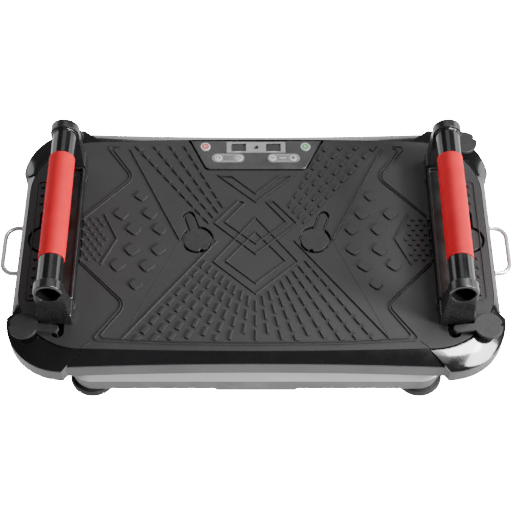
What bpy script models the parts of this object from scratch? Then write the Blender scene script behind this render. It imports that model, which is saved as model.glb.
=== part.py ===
"""Vibration plate: a rocking deck on a low base, with two lift-off push-up bars.

Metres, +Z up. The origin is on the floor at the middle of the plate, +X is to
the right of someone facing the console, and +Y points to the console side.
"""
import math

import bmesh
import bpy
from mathutils import Matrix

# Heights above the floor
FOOT_HEIGHT = 0.022
TRAY_TOP = 0.0593
BAND_TOP = 0.070
SKIRT_BOTTOM = 0.0835
SHELL_TOP = 0.1107
MAT_TOP = 0.125
MAT_THICKNESS = 0.006
GAP = 0.0003
PLATFORM_BOTTOM = SHELL_TOP + GAP
PLATFORM_FLOOR = MAT_TOP - MAT_THICKNESS - GAP
RIM_TOP = MAT_TOP - 0.0004

# Deck in plan
MAT_HALF_X = 0.374
MAT_HALF_Y = 0.2015
MAT_BOW = 0.0045
MAT_CORNER = 0.105
DECK_HALF_X = 0.384
DECK_HALF_Y = 0.228
DECK_HOLLOW = 0.006
CAP_HALF_X = 0.391
CAP_HALF_Y = 0.236
CAP_RADIUS = 0.094
CAP_CENTRE_X = CAP_HALF_X - CAP_RADIUS
CAP_CENTRE_Y = CAP_HALF_Y - CAP_RADIUS
CAP_EDGE_TOP = SHELL_TOP + 0.0022
RIM_WIDTH = 0.0030
CAP_INSET = 0.0016
SHELL_WALL = 0.003

# Base in plan
BASE_HALF_X = 0.298
BASE_HALF_Y = 0.2244
BASE_CORNER = 0.040
BASE_DRAFT = 0.0064
BASE_CHAMFER = 0.0104
BASE_WALL = 0.003
COLLAR_TOP = 0.093
COLLAR_WALL = 0.0018
LIP_HALF_X = 0.065
LIP_DEPTH = 0.007
FOOT_X = 0.262
FOOT_Y = 0.182
FOOT_RADIUS = 0.038

# Keyhole sockets and their plugs
SOCKET_X = 0.310
SOCKET_Y = 0.124
INNER_SOCKET_X = 0.095
OUTER_SOCKET_X = 0.3435
SOCKET_RADIUS = 0.0263
SOCKET_BORE = 0.020
TONGUE_HALF = 0.0098
STRAP_LENGTH = 0.049
STRAP_HALF = 0.0064
PLUG_RADIUS = 0.0226
PLUG_THICKNESS = 0.0052
PEG_RADIUS = 0.003
PEG_DEPTH = 0.0065
PEG_CLEARANCE = 0.0008
PLUG_REST = 0.0004
BARREL_RADIUS = 0.0182
BARREL_WALL = 0.003
BARREL_DEPTH = 0.006
TONGUE_LEAN = math.radians(18)

# Push-up bars
BAR_X = 0.3106
BAR_AXIS_Z = MAT_TOP + 0.088
BAR_HALF_LENGTH = 0.160
RAIL_HALF_X = 0.027
RAIL_BOTTOM = MAT_TOP + 0.006
RAIL_TOP = MAT_TOP + 0.025
RAIL_LIP = 0.004
FOOT_OVERLAP = 0.002
BOSS_RADIUS = 0.029
UPRIGHT_DEPTH = 0.030
UPRIGHT_CORNER = 0.004
RING_RADIUS = 0.023
RING_DEPTH = 0.016
TUBE_RADIUS = 0.019
TUBE_WALL = 0.0012
GRIP_RADIUS = 0.0205
GRIP_HALF_LENGTH = 0.097

# Side loops
LOOP_Z = SKIRT_BOTTOM + 0.0085
LOOP_ROD = 0.004
LOOP_HALF_Y = 0.0445
LOOP_REACH = 0.413
LOOP_BEND = 0.020

# Console
CONSOLE_TOP_Y = 0.2042
CONSOLE_BOTTOM_Y = 0.144
CONSOLE_TOP_X = 0.111
CONSOLE_BOTTOM_X = 0.083
CONSOLE_CORNER = 0.010
PANEL_THICKNESS = 0.0052
PANEL_TOP = MAT_TOP - 0.0004
DISPLAY_HALF_X = 0.050
DISPLAY_LOW_Y = 0.1785
DISPLAY_HIGH_Y = 0.2012
WINDOW_X = 0.0295
WINDOW_HALF_X = 0.0125
WINDOW_HALF_Y = 0.0085
DISPLAY_Y = (DISPLAY_LOW_Y + DISPLAY_HIGH_Y) / 2
SENSOR_RADIUS = 0.004
MAIN_BUTTON_Y = 0.191
PAD_BUTTON_Y = 0.167
BUTTONS = {
    "power_button": (-0.086, MAIN_BUTTON_Y, 0.0085),
    "start_button": (0.084, MAIN_BUTTON_Y, 0.0085),
    "program_button": (-0.064, PAD_BUTTON_Y, 0.0068),
    "mode_button": (-0.029, PAD_BUTTON_Y, 0.0068),
    "minus_button": (0.028, PAD_BUTTON_Y, 0.0068),
    "plus_button": (0.063, PAD_BUTTON_Y, 0.0068),
}

# Rocking drive
PIVOT_Z = 0.075
PIVOT_RADIUS = 0.008
PIVOT_BLOCK_Y = 0.135
LUG_Y = 0.112
CHASSIS_BOTTOM = FOOT_HEIGHT + BASE_WALL + GAP
CHASSIS_THICKNESS = 0.003
CHASSIS_TOP = CHASSIS_BOTTOM + CHASSIS_THICKNESS
FRAME_TOP = SHELL_TOP - SHELL_WALL - GAP
FRAME_THICKNESS = 0.005
FRAME_BOTTOM = FRAME_TOP - FRAME_THICKNESS
ECCENTRIC_X = 0.060
DRIVE_Z = 0.060
ECCENTRIC_OFFSET = 0.0019
JOURNAL_RADIUS = 0.011
YOKE_HALF = 0.0225
YOKE_SLOT = 0.0168
MOTOR_X = 0.170
MOTOR_RADIUS = 0.030
PULLEY_Y = 0.075
PULLEY_WIDTH = 0.012
SMALL_PULLEY = 0.010
LARGE_PULLEY = 0.028
BELT_THICKNESS = 0.002
DRIVE_SHAFT = 0.006

# Vibration motor, hung under the deck frame
SHAKER_X = -0.190
SHAKER_RADIUS = 0.022
SHAKER_HALF_LENGTH = 0.040
SHAKER_Z = FRAME_BOTTOM - GAP - SHAKER_RADIUS - 0.002
WEIGHT_RADIUS = 0.018

# Mains inlet in the rear wall of the base
INLET_X = 0.205
INLET_Z = 0.0425
INLET_HALF_X = 0.035
INLET_HALF_Z = 0.0125
INLET_FACE_Y = 0.2205
SOCKET_MOUTH_X = 0.193
ROCKER_X = 0.2275

FINE = 20
COARSE = 12
BAR_SIDES = 24
BUTTON_SIDES = 16
BOW_STEPS = 5
CORNER_STEPS = 9
SMOOTH_ANGLE = math.radians(35)

BLACK_GLOSS = ((0.012, 0.012, 0.013), 0.12, 0.0)
BLACK_SATIN = ((0.025, 0.025, 0.026), 0.45, 0.0)
RUBBER = ((0.070, 0.070, 0.072), 0.75, 0.0)
PLUG_RUBBER = ((0.045, 0.045, 0.047), 0.6, 0.0)
SKIRT_GREY = ((0.20, 0.20, 0.205), 0.4, 0.0)
SILVER = ((0.62, 0.62, 0.63), 0.32, 0.6)
RED_GRIP = ((0.80, 0.045, 0.035), 0.55, 0.0)
CHROME = ((0.80, 0.80, 0.82), 0.06, 1.0)
STEEL = ((0.45, 0.45, 0.46), 0.35, 1.0)
DARK_STEEL = ((0.10, 0.10, 0.11), 0.5, 0.8)
PANEL_GREY = ((0.11, 0.11, 0.112), 0.4, 0.0)
LIGHT_GREY = ((0.45, 0.45, 0.46), 0.4, 0.0)
WINDOW_DARK = ((0.06, 0.06, 0.065), 0.08, 0.0)
WHITE = ((0.80, 0.80, 0.80), 0.4, 0.0)
BOARD_GREEN = ((0.03, 0.16, 0.07), 0.5, 0.0)
BELT_BLACK = ((0.02, 0.02, 0.02), 0.8, 0.0)


# ---------------------------------------------------------------- scene and materials

def clear_scene():
    for obj in list(bpy.data.objects):
        bpy.data.objects.remove(obj, do_unlink=True)
    for collection in list(bpy.data.collections):
        bpy.data.collections.remove(collection)


def new_collection(name):
    collection = bpy.data.collections.new(name)
    bpy.context.scene.collection.children.link(collection)
    return collection


def paint(obj, look):
    colour, roughness, metallic = look
    material = bpy.data.materials.new(obj.name)
    material.use_nodes = True
    shader = material.node_tree.nodes["Principled BSDF"]
    shader.inputs["Base Color"].default_value = (*colour, 1.0)
    shader.inputs["Roughness"].default_value = roughness
    shader.inputs["Metallic"].default_value = metallic
    obj.data.materials.clear()
    obj.data.materials.append(material)


def move_to(obj, collection):
    for owner in list(obj.users_collection):
        owner.objects.unlink(obj)
    collection.objects.link(obj)


def finish(obj, name, look, origin=(0.0, 0.0, 0.0), smooth=True):
    """Names a piece, puts its origin on its joint or reference point and paints it."""
    obj.name = name
    obj.data.name = name
    set_origin(obj, origin)
    if smooth:
        obj.data.shade_smooth()
        obj.data.set_sharp_from_angle(angle=SMOOTH_ANGLE)
    paint(obj, look)
    move_to(obj, PARTS)
    return obj


def set_origin(obj, origin):
    bpy.context.view_layer.update()
    obj.data.transform(Matrix.Translation(origin).inverted() @ obj.matrix_world)
    obj.matrix_world = Matrix.Translation(origin)


# ---------------------------------------------------------------- building blocks

def box(low, high):
    """An axis-aligned block between two corners."""
    bpy.ops.mesh.primitive_cube_add(size=1.0)
    obj = bpy.context.object
    middle = [(a + b) / 2 for a, b in zip(low, high)]
    size = [b - a for a, b in zip(low, high)]
    obj.data.transform(Matrix.Diagonal((*size, 1.0)))
    obj.data.transform(Matrix.Translation(middle))
    return obj


AXIS_TURN = {
    "X": Matrix.Rotation(math.pi / 2, 4, "Y"),
    "Y": Matrix.Rotation(-math.pi / 2, 4, "X"),
    "Z": Matrix.Identity(4),
}


def rod(radius, start, end, axis, across, segments=FINE):
    """A round bar from start to end along an axis, at the two other coordinates in across."""
    bpy.ops.mesh.primitive_cylinder_add(vertices=segments, radius=radius, depth=end - start)
    obj = bpy.context.object
    obj.data.transform(AXIS_TURN[axis])
    middle = (start + end) / 2
    place = {"X": (middle, *across), "Y": (across[0], middle, across[1]), "Z": (*across, middle)}[axis]
    obj.data.transform(Matrix.Translation(place))
    return obj


def curve_to_mesh(obj):
    graph = bpy.context.evaluated_depsgraph_get()
    mesh = bpy.data.meshes.new_from_object(obj.evaluated_get(graph))
    edit = bmesh.new()
    edit.from_mesh(mesh)
    bmesh.ops.remove_doubles(edit, verts=edit.verts, dist=0.00001)
    bmesh.ops.recalc_face_normals(edit, faces=edit.faces)
    edit.to_mesh(mesh)
    edit.free()
    solid = bpy.data.objects.new("solid", mesh)
    bpy.context.scene.collection.objects.link(solid)
    solid.matrix_world = obj.matrix_world
    bpy.data.objects.remove(obj)
    return solid


def plate(outlines, bottom, top):
    """A flat plate from closed outlines; an outline inside another is a hole."""
    curve = bpy.data.curves.new("outline", "CURVE")
    curve.dimensions = "2D"
    curve.fill_mode = "BOTH"
    curve.extrude = (top - bottom) / 2
    for outline in outlines:
        spline = curve.splines.new("POLY")
        spline.points.add(len(outline) - 1)
        for point, (x, y) in zip(spline.points, outline):
            point.co = (x, y, 0.0, 1.0)
        spline.use_cyclic_u = True
    obj = bpy.data.objects.new("outline", curve)
    bpy.context.scene.collection.objects.link(obj)
    obj.location.z = (top + bottom) / 2
    bpy.context.view_layer.update()
    solid = curve_to_mesh(obj)
    solid.data.transform(solid.matrix_world)
    solid.matrix_world = Matrix.Identity(4)
    return solid


def loft(rings, closed=False):
    """A skin over rings of equal length, with end faces, or closed on itself."""
    mesh = bpy.data.meshes.new("loft")
    edit = bmesh.new()
    loops = [[edit.verts.new(point) for point in ring] for ring in rings]
    pairs = list(zip(loops, loops[1:]))
    if closed:
        pairs.append((loops[-1], loops[0]))
    else:
        edit.faces.new(loops[0])
        edit.faces.new(loops[-1])
    for low, high in pairs:
        for i in range(len(low)):
            j = (i + 1) % len(low)
            edit.faces.new((low[i], low[j], high[j], high[i]))
    bmesh.ops.recalc_face_normals(edit, faces=edit.faces)
    edit.to_mesh(mesh)
    edit.free()
    obj = bpy.data.objects.new("loft", mesh)
    bpy.context.scene.collection.objects.link(obj)
    return obj


def tapered(sections):
    """A solid through flat outlines at rising heights: (outline, z) pairs."""
    return loft([[(x, y, z) for x, y in outline] for outline, z in sections])


def turned(profile, centre, steps=FINE):
    """A solid of revolution about Z from (radius, z) points that run down the outer side."""
    mesh = bpy.data.meshes.new("turned")
    points = [(radius, 0.0, z) for radius, z in profile]
    edges = [(i, i + 1) for i in range(len(points) - 1)]
    mesh.from_pydata(points, edges, [])
    obj = bpy.data.objects.new("turned", mesh)
    bpy.context.scene.collection.objects.link(obj)
    screw = obj.modifiers.new("turn", "SCREW")
    screw.axis = "Z"
    screw.steps = steps
    screw.render_steps = steps
    screw.use_merge_vertices = True
    screw.merge_threshold = 0.00001
    obj.location = centre
    return obj


def bake(obj):
    """Applies the modifiers, so that the solid can be shaped further."""
    bpy.context.view_layer.update()
    graph = bpy.context.evaluated_depsgraph_get()
    mesh = bpy.data.meshes.new_from_object(obj.evaluated_get(graph))
    mesh.transform(obj.matrix_world)
    obj.modifiers.clear()
    obj.data = mesh
    obj.matrix_world = Matrix.Identity(4)
    return obj


def combine(target, tool, operation):
    """Adds or removes the tool's volume; the tool stays as a hidden cutter."""
    modifier = target.modifiers.new(operation.lower(), "BOOLEAN")
    modifier.operation = operation
    modifier.solver = "EXACT"
    modifier.object = tool
    tool.name = "cutter"
    tool.hide_render = True
    tool.display_type = "WIRE"
    move_to(tool, CUTTERS)
    return target


def cut(target, tool):
    return combine(target, tool, "DIFFERENCE")


def join(target, tool):
    return combine(target, tool, "UNION")


def round_edges(obj, width, segments=2, angle=math.radians(50)):
    bevel = obj.modifiers.new("round", "BEVEL")
    bevel.width = width
    bevel.segments = segments
    bevel.limit_method = "ANGLE"
    bevel.angle_limit = angle
    return obj


# ---------------------------------------------------------------- outlines

def arc(centre, radius, start, end, steps):
    """Points on an arc, with angles in degrees."""
    points = []
    for i in range(steps + 1):
        angle = math.radians(start + (end - start) * i / steps)
        points.append((centre[0] + radius * math.cos(angle), centre[1] + radius * math.sin(angle)))
    return points


def circle(centre, radius, steps=FINE):
    return arc(centre, radius, 0, 360, steps)[:-1]


def four_ways(quarter):
    """Closes a quarter outline, which runs from the +Y axis to the +X axis, into a full one."""
    right_low = [(x, -y) for x, y in reversed(quarter)]
    left_low = [(-x, -y) for x, y in quarter]
    left_high = [(-x, y) for x, y in reversed(quarter)]
    outline = []
    for part in (quarter, right_low, left_low, left_high):
        for x, y in part:
            if not outline or math.dist(outline[-1], (x, y)) > 0.0001:
                outline.append((x, y))
    if math.dist(outline[-1], outline[0]) < 0.0001:
        outline.pop()
    return outline


def rounded_rectangle(half_x, half_y, radius, steps=6):
    return four_ways(arc((half_x - radius, half_y - radius), radius, 90, 0, steps))


def mat_quarter(grow=0.0):
    """The mat's edge: a slight bow at the front and back, and wide round corners."""
    centre = (MAT_HALF_X - MAT_CORNER, MAT_HALF_Y - MAT_CORNER)
    points = []
    for i in range(BOW_STEPS):
        share = i / BOW_STEPS
        points.append((centre[0] * share, MAT_HALF_Y + grow + MAT_BOW * (1 - share * share)))
    points += arc(centre, MAT_CORNER + grow, 90, 0, CORNER_STEPS)
    points.append((MAT_HALF_X + grow, 0.0))
    return points


def rim_quarter(inset=0.0):
    """The lower edge of the platform's rim, which is slightly hollow at the front and back."""
    points = []
    for i in range(BOW_STEPS):
        share = i / BOW_STEPS
        y = DECK_HALF_Y - DECK_HOLLOW * (1 - share * share) - inset
        points.append((CAP_CENTRE_X * share, y))
    centre = (CAP_CENTRE_X, CAP_CENTRE_Y)
    points += arc(centre, DECK_HALF_Y - CAP_CENTRE_Y - inset, 90, 0, CORNER_STEPS)
    points.append((DECK_HALF_X - inset, 0.0))
    return points


def shell_quarter(inset=0.0):
    """The deck shell in plan: straight sides with a round shoulder under each corner cap."""
    seam_x = CAP_CENTRE_X - 0.0060
    points = []
    for i in range(BOW_STEPS):
        share = i / BOW_STEPS
        y = DECK_HALF_Y - DECK_HOLLOW * (1 - share * share) - inset
        points.append((seam_x * share, y))
    points.append((seam_x + inset, DECK_HALF_Y - inset))
    points += arc((CAP_CENTRE_X, CAP_CENTRE_Y), CAP_RADIUS - inset, 90, 0, 10)
    points.append((DECK_HALF_X - inset, CAP_CENTRE_Y - 0.0045 - inset * 0.5))
    points.append((DECK_HALF_X - inset, 0.0))
    return points


def cap_rails(grow=0.0):
    """Matching points along a corner cap's inner and outer edges, from front seam to side seam."""
    mat_centre = (MAT_HALF_X - MAT_CORNER, MAT_HALF_Y - MAT_CORNER)
    inner = arc(mat_centre, MAT_CORNER + CAP_INSET - grow, 91.5, 19, 10)
    outer = arc((CAP_CENTRE_X, CAP_CENTRE_Y), CAP_RADIUS + grow, 90, 0, 10)
    return inner, outer


def cap_opening():
    """A corner cap's footprint with clearance, carried on outwards past the deck's edge."""
    inner, outer = cap_rails(GAP)
    clearance = 2 * GAP
    seams = []
    for near, far, shift in ((inner[-1], outer[-1], (0, -clearance)), (inner[0], outer[0], (-clearance, 0))):
        reach_x = far[0] + (far[0] - near[0]) * 0.4 + shift[0]
        reach_y = far[1] + (far[1] - near[1]) * 0.4 + shift[1]
        seams.append((near[0] + shift[0], near[1] + shift[1]))
        seams.append((reach_x, reach_y))
    side_near, side_far, front_near, front_far = seams
    return inner[1:-1] + [side_near, side_far, (side_far[0], front_far[1]), front_far, front_near]


def keyhole(centre, direction, disc, tongue, length):
    """A disc with a round-ended tongue that points along an angle in radians."""
    spread = math.degrees(math.asin(tongue / disc))
    heading = math.degrees(direction)
    end = (centre[0] + length * math.cos(direction), centre[1] + length * math.sin(direction))
    points = arc(centre, disc, heading + spread, heading + 360 - spread, 15)
    points += arc(end, tongue, heading - 90, heading + 90, 5)
    return points


def console_outline(grow=0.0, top=CONSOLE_TOP_Y):
    """A trapezoid, wider at the deck's edge, with its two lower corners rounded."""
    radius = CONSOLE_CORNER
    slope = (CONSOLE_TOP_X - CONSOLE_BOTTOM_X) / (CONSOLE_TOP_Y - CONSOLE_BOTTOM_Y)
    lean = math.degrees(math.atan(slope))
    low = CONSOLE_BOTTOM_Y - grow
    centre_x = CONSOLE_BOTTOM_X - radius * 0.62
    right = arc((centre_x, CONSOLE_BOTTOM_Y + radius), radius + grow, -90, -lean, 6)
    top_x = right[-1][0] + (top - right[-1][1]) * slope
    right.append((top_x, top))
    left = [(-x, y) for x, y in reversed(right)]
    return right + left


# ---------------------------------------------------------------- sockets

def corner_sockets():
    """Each corner socket: its centre and the angle that its tongue points along."""
    sockets = {}
    for end, y_sign in (("front", -1), ("rear", 1)):
        for side, x_sign in (("left", -1), ("right", 1)):
            anchor = (x_sign * (SOCKET_X - 0.003), y_sign * (SOCKET_Y + STRAP_LENGTH))
            centre = (x_sign * SOCKET_X, y_sign * SOCKET_Y)
            heading = math.atan2(anchor[1] - centre[1], anchor[0] - centre[0])
            sockets[end + "_" + side] = (centre, heading)
    return sockets


def middle_sockets():
    """The mid-line sockets: their tongues point back and a little outward."""
    return {
        "inner_left": ((-INNER_SOCKET_X, 0.0), math.pi / 2 + TONGUE_LEAN),
        "inner_right": ((INNER_SOCKET_X, 0.0), math.pi / 2 - TONGUE_LEAN),
        "outer_left": ((-OUTER_SOCKET_X, 0.0), math.pi / 2),
        "outer_right": ((OUTER_SOCKET_X, 0.0), math.pi / 2),
    }


def all_sockets():
    return {**corner_sockets(), **middle_sockets()}


def anchor_of(centre, heading):
    return (centre[0] + STRAP_LENGTH * math.cos(heading), centre[1] + STRAP_LENGTH * math.sin(heading))


def plug_solid(heading, tilt=0.0, peg_depth=PEG_DEPTH):
    """A plug with its anchor at the origin, and its strap and disc pointing back from the anchor.

    A hollow barrel under the disc fits the socket's bore, and a peg under the strap holds it.
    """
    disc_centre = (-STRAP_LENGTH * math.cos(heading), -STRAP_LENGTH * math.sin(heading))
    lid = plate([keyhole(disc_centre, heading, PLUG_RADIUS, STRAP_HALF, STRAP_LENGTH)], 0.0, PLUG_THICKNESS)
    round_edges(lid, 0.0010, 1)
    bake(lid)
    notch_x = disc_centre[0] - (PLUG_RADIUS + 0.001) * math.cos(heading)
    notch_y = disc_centre[1] - (PLUG_RADIUS + 0.001) * math.sin(heading)
    cut(lid, rod(0.0045, PLUG_THICKNESS - 0.002, PLUG_THICKNESS + 0.002, "Z", (notch_x, notch_y), 10))
    join(lid, rod(BARREL_RADIUS, -BARREL_DEPTH, PLUG_THICKNESS * 0.5, "Z", disc_centre, 18))
    bake(lid)
    cut(lid, rod(BARREL_RADIUS - BARREL_WALL, -BARREL_DEPTH - 0.001, 0.0002, "Z", disc_centre, 18))
    bake(lid)
    if tilt:
        axis = (-math.sin(heading), math.cos(heading), 0.0)
        lid.data.transform(Matrix.Rotation(tilt, 4, axis))
    join(lid, rod(PEG_RADIUS, -peg_depth, PLUG_THICKNESS * 0.5, "Z", (0.0, 0.0), 10))
    return bake(lid)


def build_flush_plugs():
    for name, (centre, heading) in middle_sockets().items():
        x, y = anchor_of(centre, heading)
        plug = plug_solid(heading)
        plug.data.transform(Matrix.Translation((x, y, PLATFORM_FLOOR + 2 * GAP)))
        finish(plug, name + "_plug", PLUG_RUBBER, (*centre, MAT_TOP))


def build_corner_plugs():
    """Pulled out of their sockets and turned aside, to make room for the bars.

    Three lie on their barrels, and the rear left one stands up behind its bar.
    """
    turned_aside = {
        "front_left": ((-0.3095, -0.1725), math.radians(174), 0.0),
        "front_right": ((0.3095, -0.1725), math.radians(6), 0.0),
        "rear_left": ((-0.3095, 0.1730), math.radians(90), math.radians(86)),
        "rear_right": ((0.3070, 0.1730), math.radians(23.5), 0.0),
    }
    for name, ((x, y), pointing, tilt) in turned_aside.items():
        lift = MAT_TOP + PLUG_REST
        peg_depth = PEG_DEPTH
        if not tilt:
            lift += BARREL_DEPTH
            peg_depth = lift - PLATFORM_FLOOR - PEG_CLEARANCE
        plug = plug_solid(pointing + math.pi, tilt, peg_depth)
        plug.data.transform(Matrix.Translation((x, y, lift)))
        finish(plug, name + "_plug", PLUG_RUBBER, (x, y, MAT_TOP))


# ---------------------------------------------------------------- base

def base_outline(grow=0.0):
    return rounded_rectangle(BASE_HALF_X + grow, BASE_HALF_Y + grow, BASE_CORNER + grow)


def build_base_tray():
    outer = tapered([(base_outline(-BASE_DRAFT), FOOT_HEIGHT), (base_outline(), TRAY_TOP)])
    inner = tapered([
        (base_outline(-BASE_DRAFT - BASE_WALL), FOOT_HEIGHT + BASE_WALL),
        (base_outline(-BASE_WALL + 0.0005), TRAY_TOP + 0.003),
    ])
    cut(outer, inner)
    front = BASE_HALF_Y - BASE_DRAFT - 0.0008
    lip = box((-LIP_HALF_X, -front, FOOT_HEIGHT - LIP_DEPTH), (LIP_HALF_X, -front + 0.007, FOOT_HEIGHT + 0.002))
    join(outer, lip)
    window = box(
        (INLET_X - INLET_HALF_X, 0.205, INLET_Z - INLET_HALF_Z),
        (INLET_X + INLET_HALF_X, 0.235, INLET_Z + INLET_HALF_Z),
    )
    cut(outer, window)
    finish(bake(outer), "base_tray", SKIRT_GREY)


def build_base_band():
    low = TRAY_TOP + GAP
    outer = tapered([(base_outline(), low), (base_outline(-BASE_CHAMFER), BAND_TOP)])
    inner = tapered([
        (base_outline(-BASE_WALL + 0.0003), low - 0.001),
        (base_outline(-BASE_CHAMFER - BASE_WALL - 0.001), BAND_TOP + 0.001),
    ])
    cut(outer, inner)
    finish(bake(outer), "base_band", SILVER)


def build_dust_collar():
    """A thin rubber wall inside the band that closes the gap under the rocking deck."""
    foot = TRAY_TOP + 0.001
    inset = BASE_WALL + GAP
    neck = BASE_CHAMFER + BASE_WALL + 0.0016
    outer = tapered([
        (base_outline(-inset - 0.0018), foot),
        (base_outline(-neck), BAND_TOP),
        (base_outline(-neck), COLLAR_TOP),
    ])
    wall = COLLAR_WALL
    inner = tapered([
        (base_outline(-inset - 0.0014 - wall), foot - 0.0004),
        (base_outline(-neck - wall), BAND_TOP),
        (base_outline(-neck - wall), COLLAR_TOP + 0.001),
    ])
    cut(outer, inner)
    finish(bake(outer), "dust_collar", BELT_BLACK)


def build_chassis_plate():
    outline = rounded_rectangle(0.276, 0.196, 0.030, 4)
    holes = [circle((x, y), 0.035, COARSE) for x in (-0.1, 0.24) for y in (-0.14, 0.14)]
    finish(plate([outline, *holes], CHASSIS_BOTTOM, CHASSIS_TOP), "chassis_plate", DARK_STEEL)


def build_feet():
    """Suction feet: a short neck, a wide skirt and a shallow hollow inside a flat ring."""
    profile = [
        (0.0, FOOT_HEIGHT - GAP), (0.020, FOOT_HEIGHT - GAP), (0.022, FOOT_HEIGHT - 0.002), (0.024, 0.014),
        (0.034, 0.011), (0.0365, 0.008), (FOOT_RADIUS, 0.003), (FOOT_RADIUS, 0.001), (0.037, 0.0), (0.024, 0.0),
        (0.010, 0.0018), (0.0, 0.002),
    ]
    for end, y_sign in (("front", -1), ("rear", 1)):
        for side, x_sign in (("left", -1), ("right", 1)):
            foot = turned(profile, (x_sign * FOOT_X, y_sign * FOOT_Y, 0.0))
            finish(bake(foot), "foot_" + end + "_" + side, BELT_BLACK, (x_sign * FOOT_X, y_sign * FOOT_Y, 0.0))


def build_pivot_blocks():
    """Pedestals that carry the ends of the pivot shaft."""
    for name, sign in (("pivot_block_front", -1), ("pivot_block_rear", 1)):
        head = PIVOT_RADIUS + 0.009
        low = CHASSIS_TOP + GAP
        outline = [(-0.036, low), (0.036, low), (0.036, low + 0.006)]
        outline += arc((0.0, PIVOT_Z), head, -15, 195, 10)
        outline += [(-0.036, low + 0.006)]
        block = plate([outline, circle((0.0, PIVOT_Z), PIVOT_RADIUS + GAP)], -0.007, 0.007)
        block.data.transform(Matrix.Rotation(math.pi / 2, 4, "X"))
        block.data.transform(Matrix.Translation((0.0, sign * PIVOT_BLOCK_Y, 0.0)))
        finish(block, name, DARK_STEEL)


def build_pivot_shaft():
    shaft = rod(PIVOT_RADIUS, -0.147, 0.147, "Y", (0.0, PIVOT_Z))
    round_edges(shaft, 0.001, 1)
    finish(bake(shaft), "pivot_shaft", STEEL, (0.0, 0.0, PIVOT_Z))


def build_rock_motor():
    body = rod(MOTOR_RADIUS, -0.045, 0.058, "Y", (MOTOR_X, DRIVE_Z))
    join(body, rod(0.014, 0.050, 0.063, "Y", (MOTOR_X, DRIVE_Z)))
    low = CHASSIS_TOP + GAP
    join(body, box((MOTOR_X - 0.034, -0.040, low), (MOTOR_X + 0.034, 0.050, low + 0.006)))
    join(body, box((MOTOR_X - 0.022, -0.036, low + 0.003), (MOTOR_X + 0.022, 0.046, DRIVE_Z - 0.018)))
    cut(body, rod(DRIVE_SHAFT + 4 * GAP, 0.040, 0.070, "Y", (MOTOR_X, DRIVE_Z), COARSE))
    finish(bake(body), "rock_motor", DARK_STEEL)


def build_motor_pulley():
    half = PULLEY_WIDTH / 2
    pulley = rod(SMALL_PULLEY, PULLEY_Y - half, PULLEY_Y + half, "Y", (MOTOR_X, DRIVE_Z))
    for y in (PULLEY_Y - half, PULLEY_Y + half):
        join(pulley, rod(SMALL_PULLEY + 0.004, y - 0.001, y + 0.001, "Y", (MOTOR_X, DRIVE_Z)))
    join(pulley, rod(DRIVE_SHAFT, 0.042, PULLEY_Y + 0.012, "Y", (MOTOR_X, DRIVE_Z), COARSE))
    finish(bake(pulley), "motor_pulley", STEEL, (MOTOR_X, PULLEY_Y, DRIVE_Z))


def build_eccentric_shaft():
    """Shaft, offset journal for the yoke and the large belt pulley, turning as one."""
    half = PULLEY_WIDTH / 2
    shaft = rod(DRIVE_SHAFT, -0.044, PULLEY_Y + 0.012, "Y", (ECCENTRIC_X, DRIVE_Z), COARSE)
    join(shaft, rod(JOURNAL_RADIUS, -0.012, 0.012, "Y", (ECCENTRIC_X + ECCENTRIC_OFFSET, DRIVE_Z)))
    join(shaft, rod(LARGE_PULLEY, PULLEY_Y - half, PULLEY_Y + half, "Y", (ECCENTRIC_X, DRIVE_Z), BAR_SIDES))
    finish(bake(shaft), "eccentric_shaft", STEEL, (ECCENTRIC_X, 0.0, DRIVE_Z))


def build_eccentric_bracket():
    low = CHASSIS_TOP + GAP
    bracket = box((ECCENTRIC_X - 0.026, -0.038, low), (ECCENTRIC_X + 0.026, 0.038, low + 0.004))
    for y in (-0.034, 0.034):
        cheek = box((ECCENTRIC_X - 0.016, y - 0.004, low), (ECCENTRIC_X + 0.016, y + 0.004, DRIVE_Z + 0.016))
        join(bracket, cheek)
    cut(bracket, rod(DRIVE_SHAFT + GAP, -0.05, 0.05, "Y", (ECCENTRIC_X, DRIVE_Z), COARSE))
    finish(bake(bracket), "eccentric_bracket", DARK_STEEL)


def belt_outline(grow):
    """An open belt around the two pulleys, in the plane of X and height."""
    large = LARGE_PULLEY + GAP + grow
    small = SMALL_PULLEY + GAP + grow
    lean = math.degrees(math.acos((large - small) / (MOTOR_X - ECCENTRIC_X)))
    points = arc((ECCENTRIC_X, DRIVE_Z), large, lean, 360 - lean, 18)
    points += arc((MOTOR_X, DRIVE_Z), small, -lean, lean, 8)
    return points


def build_drive_belt():
    width = PULLEY_WIDTH - 0.003
    belt = plate([belt_outline(BELT_THICKNESS), belt_outline(0.0)], -width / 2, width / 2)
    belt.data.transform(Matrix.Rotation(math.pi / 2, 4, "X"))
    belt.data.transform(Matrix.Translation((0.0, PULLEY_Y, 0.0)))
    finish(belt, "drive_belt", BELT_BLACK)


def build_power_board():
    low = CHASSIS_TOP + 0.004
    board = box((-0.130, -0.100, low), (-0.035, -0.020, low + 0.0016))
    join(board, box((-0.122, -0.092, low + 0.001), (-0.092, -0.056, low + 0.026)))
    join(board, rod(0.009, low + 0.001, low + 0.028, "Z", (-0.075, -0.075), 20))
    join(board, box((-0.060, -0.088, low + 0.001), (-0.042, -0.040, low + 0.020)))
    for x in (-0.126, -0.039):
        for y in (-0.096, -0.024):
            join(board, rod(0.003, CHASSIS_TOP + GAP, low + 0.001, "Z", (x, y), 12))
    finish(bake(board), "power_board", BOARD_GREEN)


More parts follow.
